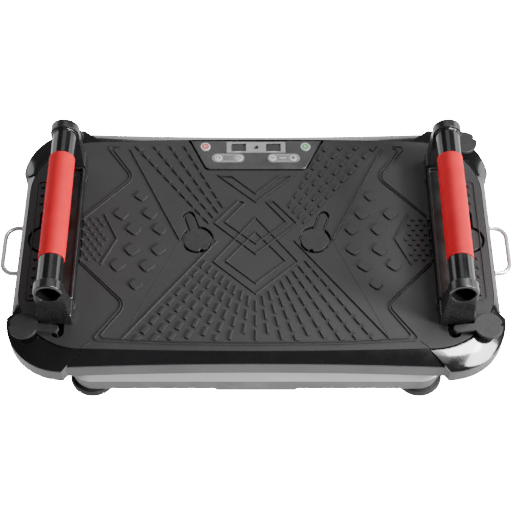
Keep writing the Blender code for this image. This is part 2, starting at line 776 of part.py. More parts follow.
def build_inlet_module():
    """Mains inlet with three blades in its cavity, and the opening for the rocker switch."""
    gap = 0.0004
    back = INLET_FACE_Y - 0.026
    body = box(
        (INLET_X - INLET_HALF_X + gap, back, INLET_Z - INLET_HALF_Z + gap),
        (INLET_X + INLET_HALF_X - gap, INLET_FACE_Y, INLET_Z + INLET_HALF_Z - gap),
    )
    mouth = box(
        (SOCKET_MOUTH_X - 0.0125, INLET_FACE_Y - 0.018, INLET_Z - 0.0085),
        (SOCKET_MOUTH_X + 0.0125, INLET_FACE_Y + 0.005, INLET_Z + 0.0085),
    )
    cut(body, mouth)
    for x, z in ((-0.007, -0.003), (0.0, 0.004), (0.007, -0.003)):
        blade = box(
            (SOCKET_MOUTH_X + x - 0.001, INLET_FACE_Y - 0.020, INLET_Z + z - 0.002),
            (SOCKET_MOUTH_X + x + 0.001, INLET_FACE_Y - 0.005, INLET_Z + z + 0.002),
        )
        join(body, blade)
    well = box(
        (ROCKER_X - 0.0068, INLET_FACE_Y - 0.020, INLET_Z - 0.0105),
        (ROCKER_X + 0.0068, INLET_FACE_Y + 0.005, INLET_Z + 0.0105),
    )
    cut(body, well)
    finish(bake(body), "inlet_module", BLACK_SATIN)


def build_power_rocker():
    """The mains rocker, resting in its off position."""
    rocker = rod(0.0085, ROCKER_X - 0.006, ROCKER_X + 0.006, "X", (0.0, 0.0), 24)
    cut(rocker, box((ROCKER_X - 0.01, 0.0045, -0.02), (ROCKER_X + 0.01, 0.02, 0.02)))
    bake(rocker)
    rocker.data.transform(Matrix.Rotation(math.radians(7), 4, "X"))
    rocker.data.transform(Matrix.Translation((0.0, INLET_FACE_Y - 0.006, INLET_Z)))
    finish(rocker, "power_rocker", BLACK_SATIN, (ROCKER_X, INLET_FACE_Y - 0.006, INLET_Z))


# ---------------------------------------------------------------- deck

def build_deck_shell():
    shell = plate([four_ways(shell_quarter())], SKIRT_BOTTOM, SHELL_TOP)
    hollow = plate([four_ways(shell_quarter(SHELL_WALL))], SKIRT_BOTTOM - 0.004, SHELL_TOP - SHELL_WALL)
    cut(shell, hollow)
    for y in (-LOOP_HALF_Y, LOOP_HALF_Y):
        cut(shell, rod(LOOP_ROD + GAP, -0.5, 0.5, "X", (y, LOOP_Z), COARSE))
    finish(bake(shell), "deck_shell", SKIRT_GREY)


def build_top_platform():
    """The glossy top moulding: sloping rims around a tray that holds the mat."""
    low = four_ways(rim_quarter())
    high = four_ways(mat_quarter(RIM_WIDTH))
    rings = [
        [(x, y, PLATFORM_BOTTOM) for x, y in low],
        [(x, y, PLATFORM_BOTTOM + 0.0012) for x, y in low],
        [(x, y, RIM_TOP) for x, y in high],
    ]
    platform = loft(rings)
    cut(platform, plate([four_ways(mat_quarter(GAP))], PLATFORM_FLOOR, MAT_TOP + 0.01))
    for sign_x in (-1, 1):
        for sign_y in (-1, 1):
            outline = [(sign_x * x, sign_y * y) for x, y in cap_opening()]
            cut(platform, plate([outline], PLATFORM_BOTTOM - 0.01, MAT_TOP + 0.01))
    for centre, heading in all_sockets().values():
        cut(platform, rod(SOCKET_BORE, PLATFORM_BOTTOM - 0.01, MAT_TOP, "Z", centre, 20))
        anchor = anchor_of(centre, heading)
        cut(platform, rod(PEG_RADIUS + GAP, PLATFORM_BOTTOM - 0.01, MAT_TOP, "Z", anchor, 10))
    cut(platform, plate([console_outline(-0.004, CONSOLE_TOP_Y - 0.003)], PLATFORM_BOTTOM - 0.01, MAT_TOP))
    finish(bake(platform), "top_platform", BLACK_GLOSS)


def build_deck_mat():
    outline = four_ways(mat_quarter())
    holes = []
    for centre, heading in all_sockets().values():
        holes.append(keyhole(centre, heading, SOCKET_RADIUS, TONGUE_HALF, STRAP_LENGTH))
    mat = plate([outline, *holes], MAT_TOP - MAT_THICKNESS, MAT_TOP)
    cut(mat, plate([console_outline(0.0016, 0.23)], MAT_TOP - 0.02, MAT_TOP + 0.02))
    finish(bake(mat), "deck_mat", RUBBER, (0.0, 0.0, MAT_TOP))


def build_corner_caps():
    """Domed caps over the corners, thick beside the mat and thin at the outer edge."""
    inner, outer = cap_rails()
    rows = 4
    rings = []
    for near, far in zip(inner, outer):
        ring = [(*near, PLATFORM_BOTTOM), (*far, PLATFORM_BOTTOM)]
        for i in range(rows + 1):
            share = 1 - i / rows
            x = near[0] + (far[0] - near[0]) * share
            y = near[1] + (far[1] - near[1]) * share
            ring.append((x, y, RIM_TOP - (RIM_TOP - CAP_EDGE_TOP) * share ** 1.5))
        rings.append(ring)
    for end, y_sign in (("front", -1), ("rear", 1)):
        for side, x_sign in (("left", -1), ("right", 1)):
            cap = loft([[(x_sign * x, y_sign * y, z) for x, y, z in ring] for ring in rings])
            finish(cap, "corner_cap_" + end + "_" + side, BLACK_GLOSS)


def build_deck_frame():
    """Steel frame under the shell, with lugs on the pivot shaft and a yoke around the journal."""
    frame = plate([rounded_rectangle(0.270, 0.160, 0.020, 4)], FRAME_BOTTOM, FRAME_TOP)
    for y in (-LUG_Y, LUG_Y):
        outline = [(0.020, FRAME_BOTTOM + 0.002), (-0.020, FRAME_BOTTOM + 0.002)]
        outline += arc((0.0, PIVOT_Z), PIVOT_RADIUS + 0.008, 180, 360, 10)
        lug = plate([outline], -0.006, 0.006)
        lug.data.transform(Matrix.Rotation(math.pi / 2, 4, "X"))
        lug.data.transform(Matrix.Translation((0.0, y, 0.0)))
        join(frame, lug)
        cut(frame, rod(PIVOT_RADIUS + GAP, y - 0.01, y + 0.01, "Y", (0.0, PIVOT_Z)))
    yoke = box(
        (ECCENTRIC_X - YOKE_HALF, -0.008, DRIVE_Z - YOKE_HALF),
        (ECCENTRIC_X + YOKE_HALF, 0.008, FRAME_BOTTOM + 0.002),
    )
    join(frame, yoke)
    slot = box(
        (ECCENTRIC_X - YOKE_SLOT, -0.02, DRIVE_Z - YOKE_SLOT),
        (ECCENTRIC_X + YOKE_SLOT, 0.02, DRIVE_Z + YOKE_SLOT),
    )
    cut(frame, slot)
    finish(bake(frame), "deck_frame", DARK_STEEL)


def build_vibration_motor():
    body = rod(SHAKER_RADIUS, -SHAKER_HALF_LENGTH, SHAKER_HALF_LENGTH, "Y", (SHAKER_X, SHAKER_Z))
    saddle = box((SHAKER_X - 0.028, -0.030, SHAKER_Z + 0.010), (SHAKER_X + 0.028, 0.030, FRAME_BOTTOM - GAP))
    join(body, saddle)
    cut(body, rod(0.0046, -0.06, 0.06, "Y", (SHAKER_X, SHAKER_Z), COARSE))
    finish(bake(body), "vibration_motor", DARK_STEEL)


def build_vibration_rotor():
    """A thin shaft with a half-round weight on each end, hanging down at rest."""
    rotor = rod(0.004, -0.062, 0.062, "Y", (0.0, 0.0), COARSE)
    for y in (-0.051, 0.051):
        outline = arc((0.0, 0.0), WEIGHT_RADIUS, 180, 360, 10)
        outline += arc((0.0, 0.0), 0.007, 0, 180, 5)
        weight = plate([outline], -0.006, 0.006)
        weight.data.transform(Matrix.Rotation(math.pi / 2, 4, "X"))
        weight.data.transform(Matrix.Translation((0.0, y, 0.0)))
        join(rotor, weight)
    bake(rotor)
    rotor.data.transform(Matrix.Translation((SHAKER_X, 0.0, SHAKER_Z)))
    finish(rotor, "vibration_rotor", STEEL, (SHAKER_X, 0.0, SHAKER_Z))


def build_side_loops():
    """Chrome rods bent into a wide U, with both ends through the shell's wall."""
    for side, sign in (("left", -1), ("right", 1)):
        inside = DECK_HALF_X - 0.016
        centre = LOOP_REACH - LOOP_BEND
        path = [(inside, -LOOP_HALF_Y)]
        path += arc((centre, -LOOP_HALF_Y + LOOP_BEND), LOOP_BEND, -90, 0, 6)
        path += arc((centre, LOOP_HALF_Y - LOOP_BEND), LOOP_BEND, 0, 90, 6)
        path += [(inside, LOOP_HALF_Y)]
        curve = bpy.data.curves.new("loop", "CURVE")
        curve.dimensions = "3D"
        curve.bevel_depth = LOOP_ROD
        curve.bevel_resolution = 2
        curve.use_fill_caps = True
        spline = curve.splines.new("POLY")
        spline.points.add(len(path) - 1)
        for point, (x, y) in zip(spline.points, path):
            point.co = (sign * x, y, LOOP_Z, 1.0)
        obj = bpy.data.objects.new("loop", curve)
        bpy.context.scene.collection.objects.link(obj)
        bpy.context.view_layer.update()
        finish(curve_to_mesh(obj), "side_loop_" + side, CHROME)


# ---------------------------------------------------------------- console

def build_console_panel():
    bottom = PANEL_TOP - PANEL_THICKNESS
    holes = [circle((x, y), radius + 0.0004, BUTTON_SIDES) for x, y, radius in BUTTONS.values()]
    bezel = [
        (-DISPLAY_HALF_X - GAP, DISPLAY_LOW_Y - GAP), (DISPLAY_HALF_X + GAP, DISPLAY_LOW_Y - GAP),
        (DISPLAY_HALF_X + GAP, DISPLAY_HIGH_Y + GAP), (-DISPLAY_HALF_X - GAP, DISPLAY_HIGH_Y + GAP),
    ]
    panel = plate([console_outline(), bezel, *holes], bottom, PANEL_TOP)
    finish(panel, "console_panel", PANEL_GREY)


def build_display_bezel():
    outline = [
        (-DISPLAY_HALF_X, DISPLAY_LOW_Y), (DISPLAY_HALF_X, DISPLAY_LOW_Y),
        (DISPLAY_HALF_X, DISPLAY_HIGH_Y), (-DISPLAY_HALF_X, DISPLAY_HIGH_Y),
    ]
    windows = []
    for x in (-WINDOW_X, WINDOW_X):
        windows.append([
            (x - WINDOW_HALF_X, DISPLAY_Y - WINDOW_HALF_Y), (x + WINDOW_HALF_X, DISPLAY_Y - WINDOW_HALF_Y),
            (x + WINDOW_HALF_X, DISPLAY_Y + WINDOW_HALF_Y), (x - WINDOW_HALF_X, DISPLAY_Y + WINDOW_HALF_Y),
        ])
    windows.append(circle((0.0, DISPLAY_Y), SENSOR_RADIUS, 20))
    bezel = plate([outline, *windows], PANEL_TOP - 0.0016, PANEL_TOP + 0.0004)
    finish(bezel, "display_bezel", LIGHT_GREY)


def build_display_window():
    """One dark window behind the bezel, which shows through its three openings."""
    window = box(
        (-DISPLAY_HALF_X + 0.002, DISPLAY_LOW_Y + 0.0015, PANEL_TOP - 0.0042),
        (DISPLAY_HALF_X - 0.002, DISPLAY_HIGH_Y - 0.0015, PANEL_TOP - 0.0019),
    )
    finish(window, "display_window", WINDOW_DARK)


def build_console_board():
    low = PLATFORM_BOTTOM
    board = box((-0.070, CONSOLE_BOTTOM_Y + 0.009, low), (0.070, CONSOLE_TOP_Y - 0.012, low + 0.0016))
    join(board, box((-0.046, 0.181, low + 0.001), (0.046, 0.191, low + 0.0040)))
    finish(bake(board), "console_board", BOARD_GREEN)


def build_buttons():
    """Caps that stand a little proud of the panel, with a flange that keeps them in."""
    under = PANEL_TOP - PANEL_THICKNESS - GAP
    for name, (x, y, radius) in BUTTONS.items():
        top = PANEL_TOP + 0.0010
        profile = [
            (0.0, top), (radius - 0.0012, top), (radius, top - 0.0008), (radius, under),
            (radius + 0.0012, under), (radius + 0.0012, under - 0.0014), (0.0, under - 0.0014),
        ]
        button = turned([(r, z - top) for r, z in profile], (x, y, top), BUTTON_SIDES)
        finish(bake(button), name, WHITE, (x, y, top))


# ---------------------------------------------------------------- push-up bars

def build_bar_rail(side, sign):
    """The long foot of a bar, with lips along its top and a spigot under each end."""
    x = sign * BAR_X
    length = BAR_HALF_LENGTH - UPRIGHT_DEPTH - GAP
    outline = [(x + dx, dy) for dx, dy in rounded_rectangle(RAIL_HALF_X, length, 0.002, 2)]
    rail = plate([outline], RAIL_BOTTOM - FOOT_OVERLAP, RAIL_TOP)
    inside = length - RAIL_LIP
    channel = [(x + dx, dy) for dx, dy in rounded_rectangle(RAIL_HALF_X - RAIL_LIP, inside, 0.003, 3)]
    cut(rail, plate([channel], RAIL_TOP - 0.008, RAIL_TOP + 0.01))
    for y in (-SOCKET_Y, SOCKET_Y):
        centre = (sign * SOCKET_X, y)
        join(rail, rod(BOSS_RADIUS, MAT_TOP + GAP, RAIL_BOTTOM, "Z", centre))
        join(rail, rod(SOCKET_BORE - 0.0006, PLATFORM_BOTTOM + GAP, MAT_TOP + 0.002, "Z", centre))
    finish(bake(rail), side + "_bar_rail", BLACK_SATIN, (x, 0.0, MAT_TOP))


def upright_section(x, y_sign, half_x, inner, z):
    """A level section of a post, square inside and with rounded corners outside."""
    outer = BAR_HALF_LENGTH - 0.0002
    middle = (half_x - UPRIGHT_CORNER, outer - UPRIGHT_CORNER)
    corner = arc(middle, UPRIGHT_CORNER, 0, 90, 3)
    right = [(half_x, inner)] + corner
    left = [(-u, v) for u, v in reversed(right)]
    return [(x + u, y_sign * v, z) for u, v in right + left]


def build_bar_upright(side, sign, end, y_sign):
    """A tapering post with a ring at its head; the rear ring is closed at its outer end."""
    x = sign * BAR_X
    foot_inner = BAR_HALF_LENGTH - UPRIGHT_DEPTH
    head_inner = BAR_HALF_LENGTH - RING_DEPTH
    sections = []
    for half_x, inner, z in (
        (RAIL_HALF_X, foot_inner, MAT_TOP + GAP),
        (RAIL_HALF_X, foot_inner, RAIL_TOP),
        (RING_RADIUS - 0.0005, head_inner, BAR_AXIS_Z),
    ):
        sections.append(upright_section(x, y_sign, half_x, inner, z))
    post = loft(sections)
    boss_centre = (sign * SOCKET_X, y_sign * SOCKET_Y)
    cut(post, rod(BOSS_RADIUS + GAP, MAT_TOP - 0.001, RAIL_BOTTOM + GAP, "Z", boss_centre))
    bake(post)
    ends = sorted((y_sign * head_inner, y_sign * (BAR_HALF_LENGTH + 0.001)))
    join(post, rod(RING_RADIUS, ends[0], ends[1], "Y", (x, BAR_AXIS_Z), BAR_SIDES))
    if end == "front":
        bore = (-BAR_HALF_LENGTH - 0.02, -head_inner + 0.02)
    else:
        bore = (head_inner - 0.02, BAR_HALF_LENGTH - 0.0022)
    cut(post, rod(TUBE_RADIUS + GAP, bore[0], bore[1], "Y", (x, BAR_AXIS_Z), BAR_SIDES))
    finish(bake(post), side + "_upright_" + end, BLACK_GLOSS, (x, 0.0, MAT_TOP))


def build_bar_tube(side, sign):
    x = sign * BAR_X
    tube = rod(TUBE_RADIUS, -BAR_HALF_LENGTH, BAR_HALF_LENGTH - 0.0026, "Y", (x, BAR_AXIS_Z), BAR_SIDES)
    cut(tube, rod(TUBE_RADIUS - TUBE_WALL, -0.2, 0.2, "Y", (x, BAR_AXIS_Z), BAR_SIDES))
    finish(bake(tube), side + "_bar_tube", BLACK_GLOSS, (x, 0.0, BAR_AXIS_Z))


def build_bar_grip(side, sign):
    x = sign * BAR_X
    grip = rod(GRIP_RADIUS, -GRIP_HALF_LENGTH, GRIP_HALF_LENGTH, "Y", (x, BAR_AXIS_Z), BAR_SIDES)
    round_edges(grip, 0.0008, 1)
    cut(grip, rod(TUBE_RADIUS + GAP, -0.2, 0.2, "Y", (x, BAR_AXIS_Z), BAR_SIDES))
    finish(bake(grip), side + "_bar_grip", RED_GRIP, (x, 0.0, BAR_AXIS_Z))


def build_push_up_bars():
    for side, sign in (("left", -1), ("right", 1)):
        build_bar_rail(side, sign)
        build_bar_upright(side, sign, "front", -1)
        build_bar_upright(side, sign, "rear", 1)
        build_bar_tube(side, sign)
        build_bar_grip(side, sign)


def build_base():
    build_base_tray()
    build_base_band()
    build_dust_collar()
    build_chassis_plate()
    build_feet()
    build_pivot_blocks()
    build_pivot_shaft()
    build_rock_motor()
    build_motor_pulley()
    build_eccentric_shaft()
    build_eccentric_bracket()
    build_drive_belt()
    build_power_board()
    build_inlet_module()
    build_power_rocker()


def build_deck():
    build_deck_shell()
    build_top_platform()
    build_deck_mat()
    build_corner_caps()
    build_deck_frame()
    build_vibration_motor()
    build_vibration_rotor()
    build_side_loops()


def build_console():
    build_console_panel()
    build_display_bezel()
    build_display_window()
    build_console_board()
    build_buttons()


clear_scene()
PARTS = new_collection("vibration_plate")
CUTTERS = new_collection("cutters")
build_base()
build_deck()
build_console()
build_flush_plugs()
build_corner_plugs()
build_push_up_bars()
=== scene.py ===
import math

import bmesh
import bpy
from mathutils import Matrix, Vector


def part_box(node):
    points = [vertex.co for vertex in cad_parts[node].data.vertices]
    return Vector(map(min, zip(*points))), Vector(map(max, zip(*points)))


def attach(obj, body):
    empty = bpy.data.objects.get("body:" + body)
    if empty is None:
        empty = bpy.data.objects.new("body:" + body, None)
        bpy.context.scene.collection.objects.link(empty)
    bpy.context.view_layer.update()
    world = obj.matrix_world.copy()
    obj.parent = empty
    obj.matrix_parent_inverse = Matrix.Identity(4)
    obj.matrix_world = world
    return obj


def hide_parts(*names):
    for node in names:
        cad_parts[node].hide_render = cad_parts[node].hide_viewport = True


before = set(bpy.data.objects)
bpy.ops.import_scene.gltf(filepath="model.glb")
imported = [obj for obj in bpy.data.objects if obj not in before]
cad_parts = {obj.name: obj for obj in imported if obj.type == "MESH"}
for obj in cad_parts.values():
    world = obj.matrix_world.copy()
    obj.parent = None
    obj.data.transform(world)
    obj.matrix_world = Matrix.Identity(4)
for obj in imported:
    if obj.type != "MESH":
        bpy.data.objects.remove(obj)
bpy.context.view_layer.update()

# Heights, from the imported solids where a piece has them
MAT_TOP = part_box("deck_mat")[1].z
MAT_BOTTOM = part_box("deck_mat")[0].z
PLATFORM_BOTTOM, RIM_TOP = (corner.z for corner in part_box("top_platform"))
SKIRT_BOTTOM, SHELL_TOP = (corner.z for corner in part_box("deck_shell"))
TRAY_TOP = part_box("base_tray")[1].z
FOOT_HEIGHT = 0.022
BAND_BOTTOM, BAND_TOP = (corner.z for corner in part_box("base_band"))
GAP = 0.0003
PLATFORM_FLOOR = MAT_BOTTOM - GAP

# Deck in plan, as in the solids
MAT_HALF_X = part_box("deck_mat")[1].x
MAT_HALF_Y = 0.2015
MAT_BOW = 0.0045
MAT_CORNER = 0.105
MAT_CENTRE = (MAT_HALF_X - MAT_CORNER, MAT_HALF_Y - MAT_CORNER)
DECK_HALF_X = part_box("top_platform")[1].x
DECK_HALF_Y = 0.228
DECK_HOLLOW = 0.006
CAP_HALF_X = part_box("deck_shell")[1].x
CAP_HALF_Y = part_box("deck_shell")[1].y
CAP_RADIUS = 0.094
CAP_CENTRE = (CAP_HALF_X - CAP_RADIUS, CAP_HALF_Y - CAP_RADIUS)
CAP_EDGE_TOP = SHELL_TOP + 0.0022
CAP_INSET = 0.0016
SHELL_WALL = 0.003

# Base in plan
BASE_HALF_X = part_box("base_tray")[1].x
BASE_HALF_Y = 0.2244
BASE_CORNER = 0.040
BASE_DRAFT = 0.0064
BASE_CHAMFER = 0.0104
BASE_WALL = 0.003
LIP_HALF_X = 0.065

# Keyhole sockets and plugs
SOCKET_X = 0.310
SOCKET_Y = 0.124
INNER_SOCKET_X = 0.095
OUTER_SOCKET_X = 0.3435
SOCKET_RADIUS = 0.0263
SOCKET_BORE = 0.020
TONGUE_HALF = 0.0098
STRAP_LENGTH = 0.049
STRAP_HALF = 0.0064
PLUG_RADIUS = 0.0226
PLUG_THICKNESS = 0.0052
PEG_RADIUS = 0.003
PEG_DEPTH = 0.0065
PEG_CLEARANCE = 0.0008
PLUG_REST = 0.0004
BARREL_RADIUS = 0.0182
BARREL_WALL = 0.003
BARREL_DEPTH = 0.006
TONGUE_LEAN = math.radians(18)

# Push-up bars
BAR_X = 0.3106
BAR_AXIS_Z = MAT_TOP + 0.088
BAR_HALF_LENGTH = 0.160
RAIL_HALF_X = 0.027
RAIL_BOTTOM = MAT_TOP + 0.006
RAIL_TOP = MAT_TOP + 0.025
RAIL_LIP = 0.004
BOSS_RADIUS = 0.029
UPRIGHT_DEPTH = 0.030
RING_RADIUS = 0.023
RING_DEPTH = 0.016
TUBE_RADIUS = 0.019
TUBE_WALL = 0.0012
GRIP_RADIUS = 0.0205
GRIP_HALF_LENGTH = 0.097

# Console
CONSOLE_TOP_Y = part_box("console_panel")[1].y
CONSOLE_BOTTOM_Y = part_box("console_panel")[0].y
CONSOLE_TOP_X = 0.111
CONSOLE_BOTTOM_X = 0.083
CONSOLE_CORNER = 0.010
PANEL_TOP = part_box("console_panel")[1].z
PANEL_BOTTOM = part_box("console_panel")[0].z
DISPLAY_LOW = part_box("display_bezel")[0]
DISPLAY_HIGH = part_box("display_bezel")[1]
DISPLAY_Y = (DISPLAY_LOW.y + DISPLAY_HIGH.y) / 2
WINDOW_X = 0.0295
WINDOW_HALF_X = 0.0125
WINDOW_HALF_Y = 0.0085
SENSOR_RADIUS = 0.004
PAD_Y = 0.167
MAIN_Y = 0.191
BUTTONS = {
    "power_button": (-0.086, MAIN_Y, 0.0085),
    "start_button": (0.084, MAIN_Y, 0.0085),
    "program_button": (-0.064, PAD_Y, 0.0068),
    "mode_button": (-0.029, PAD_Y, 0.0068),
    "minus_button": (0.028, PAD_Y, 0.0068),
    "plus_button": (0.063, PAD_Y, 0.0068),
}

# Mat relief: how far each kind rises above the mat, and how far its foot spreads
SINK = 0.0012
BAR_RISE = 0.0028
BAR_SPREAD = 0.0013
PAD_RISE = 0.0030
PAD_SPREAD = 0.0018
DOT_RADIUS = 0.0026
DOT_RISE = 0.0026
DOT_SPREAD = 0.0010
FAN_FRONT_Y = -0.1885
FAN_REAR_Y = 0.1895

# Smoothing, light and camera
SMOOTH_ANGLE = math.radians(38)
ROUND = 48
FLOOR_GLOW = 0.65
WORLD_LIGHT = 0.08
WHITE_TO_CAMERA = 60.0
CAMERA_PLACE = (0.0, -1.156, 1.823)
CAMERA_TILT = math.radians(33.5)
CAMERA_LENS = 89.2


# ---------------------------------------------------------------- materials

def surface(name, colour, roughness, metallic=0.0, coat=0.0, mottle=(9.0, 0.10), grain=(900.0, 0.00006),
            spread=0.08, specular=0.5):
    """A moulded, painted or metal surface: slow colour drift, uneven gloss and a fine grain.

    mottle is (patches per metre, share of colour change); grain is (cells per metre, depth in metres).
    """
    material = bpy.data.materials.new(name)
    material.use_nodes = True
    nodes = material.node_tree.nodes
    links = material.node_tree.links
    shader = nodes["Principled BSDF"]
    shader.inputs["Metallic"].default_value = metallic
    shader.inputs["Coat Weight"].default_value = coat
    shader.inputs["Coat Roughness"].default_value = 0.04
    shader.inputs["Specular IOR Level"].default_value = specular
    place = nodes.new("ShaderNodeTexCoord")

    patches = noise(nodes, links, place, mottle[0], 3.0)
    tint = nodes.new("ShaderNodeValToRGB")
    low, high = (tuple(min(1.0, c * (1 + sign * mottle[1])) for c in colour) for sign in (-1, 1))
    tint.color_ramp.elements[0].position = 0.3
    tint.color_ramp.elements[0].color = (*low, 1.0)
    tint.color_ramp.elements[1].position = 0.7
    tint.color_ramp.elements[1].color = (*high, 1.0)
    links.new(patches.outputs["Fac"], tint.inputs["Fac"])
    links.new(tint.outputs["Color"], shader.inputs["Base Color"])

    smears = noise(nodes, links, place, mottle[0] * 4.0, 4.0)
    gloss = nodes.new("ShaderNodeMapRange")
    gloss.inputs["From Min"].default_value = 0.3
    gloss.inputs["From Max"].default_value = 0.7
    gloss.inputs["To Min"].default_value = max(0.02, roughness - spread)
    gloss.inputs["To Max"].default_value = min(1.0, roughness + spread)
    links.new(smears.outputs["Fac"], gloss.inputs["Value"])
    links.new(gloss.outputs["Result"], shader.inputs["Roughness"])

    cells = noise(nodes, links, place, grain[0], 2.0)
    bump = nodes.new("ShaderNodeBump")
    bump.inputs["Strength"].default_value = 1.0
    bump.inputs["Distance"].default_value = grain[1]
    links.new(cells.outputs["Fac"], bump.inputs["Height"])
    links.new(bump.outputs["Normal"], shader.inputs["Normal"])
    return material


def noise(nodes, links, place, scale, detail):
    texture = nodes.new("ShaderNodeTexNoise")
    texture.inputs["Scale"].default_value = scale
    texture.inputs["Detail"].default_value = detail
    links.new(place.outputs["Object"], texture.inputs["Vector"])
    return texture


# Each finish: its colour, roughness and what else differs from a plain moulded surface
FINISHES = {
    "gloss_black": ((0.011, 0.011, 0.012), 0.16, dict(coat=0.6, grain=(60.0, 0.00002), spread=0.05)),
    "upright_black": ((0.014, 0.014, 0.015), 0.30, dict(coat=0.5, grain=(500.0, 0.000005))),
    "tube_black": ((0.011, 0.011, 0.012), 0.17, dict(coat=0.4, grain=(300.0, 0.00001), spread=0.04)),
    "satin_black": ((0.009, 0.009, 0.0095), 0.36, dict(grain=(700.0, 0.00002))),
    "mat_rubber": ((0.047, 0.047, 0.048), 0.54,
                   dict(mottle=(7.0, 0.04), grain=(1400.0, 0.00004), spread=0.04, specular=0.15)),
    "plug_rubber": ((0.030, 0.030, 0.031), 0.54,
                    dict(mottle=(30.0, 0.08), grain=(1100.0, 0.00005), specular=0.2)),
    "black_rubber": ((0.016, 0.016, 0.017), 0.62, dict(grain=(1200.0, 0.0001))),
    "skirt_grey": ((0.052, 0.052, 0.054), 0.36, dict(coat=0.1, mottle=(6.0, 0.03), grain=(900.0, 0.00002))),
    "base_grey": ((0.060, 0.060, 0.062), 0.42, dict(mottle=(6.0, 0.03), grain=(900.0, 0.00002))),
    "silver_band": ((0.52, 0.52, 0.525), 0.36,
                    dict(metallic=0.15, mottle=(3.0, 0.02), grain=(1500.0, 0.00001))),
    "red_foam": ((0.94, 0.013, 0.026), 0.60, dict(mottle=(40.0, 0.05), grain=(1600.0, 0.00008),
                                                  specular=0.12)),
    "chrome": ((0.88, 0.88, 0.89), 0.22, dict(metallic=0.35, grain=(400.0, 0.000004), spread=0.03)),
    "steel": ((0.46, 0.46, 0.47), 0.32, dict(metallic=1.0, mottle=(60.0, 0.15), grain=(2200.0, 0.00002))),
    "dark_steel": ((0.09, 0.09, 0.10), 0.48, dict(metallic=0.7, mottle=(25.0, 0.2),
                                                  grain=(900.0, 0.00006))),
    "console_grey": ((0.044, 0.044, 0.046), 0.40, dict(coat=0.05, grain=(1800.0, 0.00003))),
    "bezel_grey": ((0.40, 0.40, 0.41), 0.38, dict(mottle=(50.0, 0.06), grain=(1500.0, 0.00002))),
    "pad_grey": ((0.33, 0.33, 0.34), 0.40, dict(mottle=(60.0, 0.08), grain=(1500.0, 0.00002))),
    "pad_dark": ((0.20, 0.20, 0.21), 0.42, dict(mottle=(60.0, 0.08), grain=(1500.0, 0.00002))),
    "window_dark": ((0.042, 0.042, 0.046), 0.20, dict(coat=0.3, grain=(200.0, 0.000006), spread=0.04)),
    "button_white": ((0.80, 0.80, 0.80), 0.36, dict(mottle=(80.0, 0.05), grain=(1500.0, 0.00002))),
    "icon_grey": ((0.20, 0.20, 0.21), 0.42, dict(mottle=(80.0, 0.08), grain=(1500.0, 0.00002))),
    "icon_red": ((0.74, 0.085, 0.085), 0.45, dict(mottle=(80.0, 0.08), grain=(1500.0, 0.00002))),
    "icon_green": ((0.12, 0.62, 0.20), 0.45, dict(mottle=(80.0, 0.08), grain=(1500.0, 0.00002))),
    "board_green": ((0.03, 0.16, 0.07), 0.45, dict(mottle=(120.0, 0.3), grain=(500.0, 0.0001))),
}
LOOKS = {}
for look_name, (look_colour, look_roughness, more) in FINISHES.items():
    LOOKS[look_name] = surface(look_name, look_colour, look_roughness, **more)


# ---------------------------------------------------------------- outlines

def arc(centre, radius, start, end, steps):
    """Points on an arc, with angles in degrees."""
    points = []
    for i in range(steps + 1):
        angle = math.radians(start + (end - start) * i / steps)
        points.append((centre[0] + radius * math.cos(angle), centre[1] + radius * math.sin(angle)))
    return points


def circle(centre, radius, steps=ROUND):
    return arc(centre, radius, 0, 360, steps)[:-1]


def tidy_loop(points, close=0.00005):
    """Drops points that repeat the one before."""
    kept = []
    for point in points:
        if not kept or math.dist(kept[-1], point) > close:
            kept.append(point)
    if math.dist(kept[-1], kept[0]) < close:
        kept.pop()
    return kept


def four_ways(quarter):
    """Closes a quarter outline, which runs from the +Y axis to the +X axis, into a full one."""
    right_low = [(x, -y) for x, y in reversed(quarter)]
    left_low = [(-x, -y) for x, y in quarter]
    left_high = [(-x, y) for x, y in reversed(quarter)]
    return tidy_loop(quarter + right_low + left_low + left_high)


def rounded_rectangle(half_x, half_y, radius, steps=8):
    return four_ways(arc((half_x - radius, half_y - radius), radius, 90, 0, steps))


def pill(low_x, high_x, y, half_y, steps=14):
    """A flat bar with round ends."""
    points = arc((high_x - half_y, y), half_y, -90, 90, steps)
    return points + arc((low_x + half_y, y), half_y, 90, 270, steps)


def mat_edge_y(x, grow=0.0):
    return MAT_HALF_Y + grow + MAT_BOW * (1 - (x / MAT_CENTRE[0]) ** 2)


def mat_quarter(grow=0.0, start_x=0.0, bow_steps=12, corner_steps=24):
    """The mat's edge: a slight bow at the front and back, and wide round corners."""
    points = []
    for i in range(bow_steps):
        x = start_x + (MAT_CENTRE[0] - start_x) * i / bow_steps
        points.append((x, mat_edge_y(x, grow)))
    points += arc(MAT_CENTRE, MAT_CORNER + grow, 90, 0, corner_steps)
    points.append((MAT_HALF_X + grow, 0.0))
    return points


def rim_edge_y(x):
    return DECK_HALF_Y - DECK_HOLLOW * (1 - (x / CAP_CENTRE[0]) ** 2)


def shell_quarter(inset=0.0, bow_steps=12, corner_steps=28):
    """The deck shell in plan: straight sides with a round shoulder under each corner cap."""
    seam_x = CAP_CENTRE[0] - 0.0060
    points = []
    for i in range(bow_steps):
        share = i / bow_steps
        points.append((seam_x * share, DECK_HALF_Y - DECK_HOLLOW * (1 - share * share) - inset))
    points.append((seam_x + inset, DECK_HALF_Y - inset))
    points += arc(CAP_CENTRE, CAP_RADIUS - inset, 90, 0, corner_steps)
    points.append((DECK_HALF_X - inset, CAP_CENTRE[1] - 0.0045 - inset * 0.5))
    points.append((DECK_HALF_X - inset, 0.0))
    return points


def base_outline(grow=0.0):
    return rounded_rectangle(BASE_HALF_X + grow, BASE_HALF_Y + grow, BASE_CORNER + grow, 16)


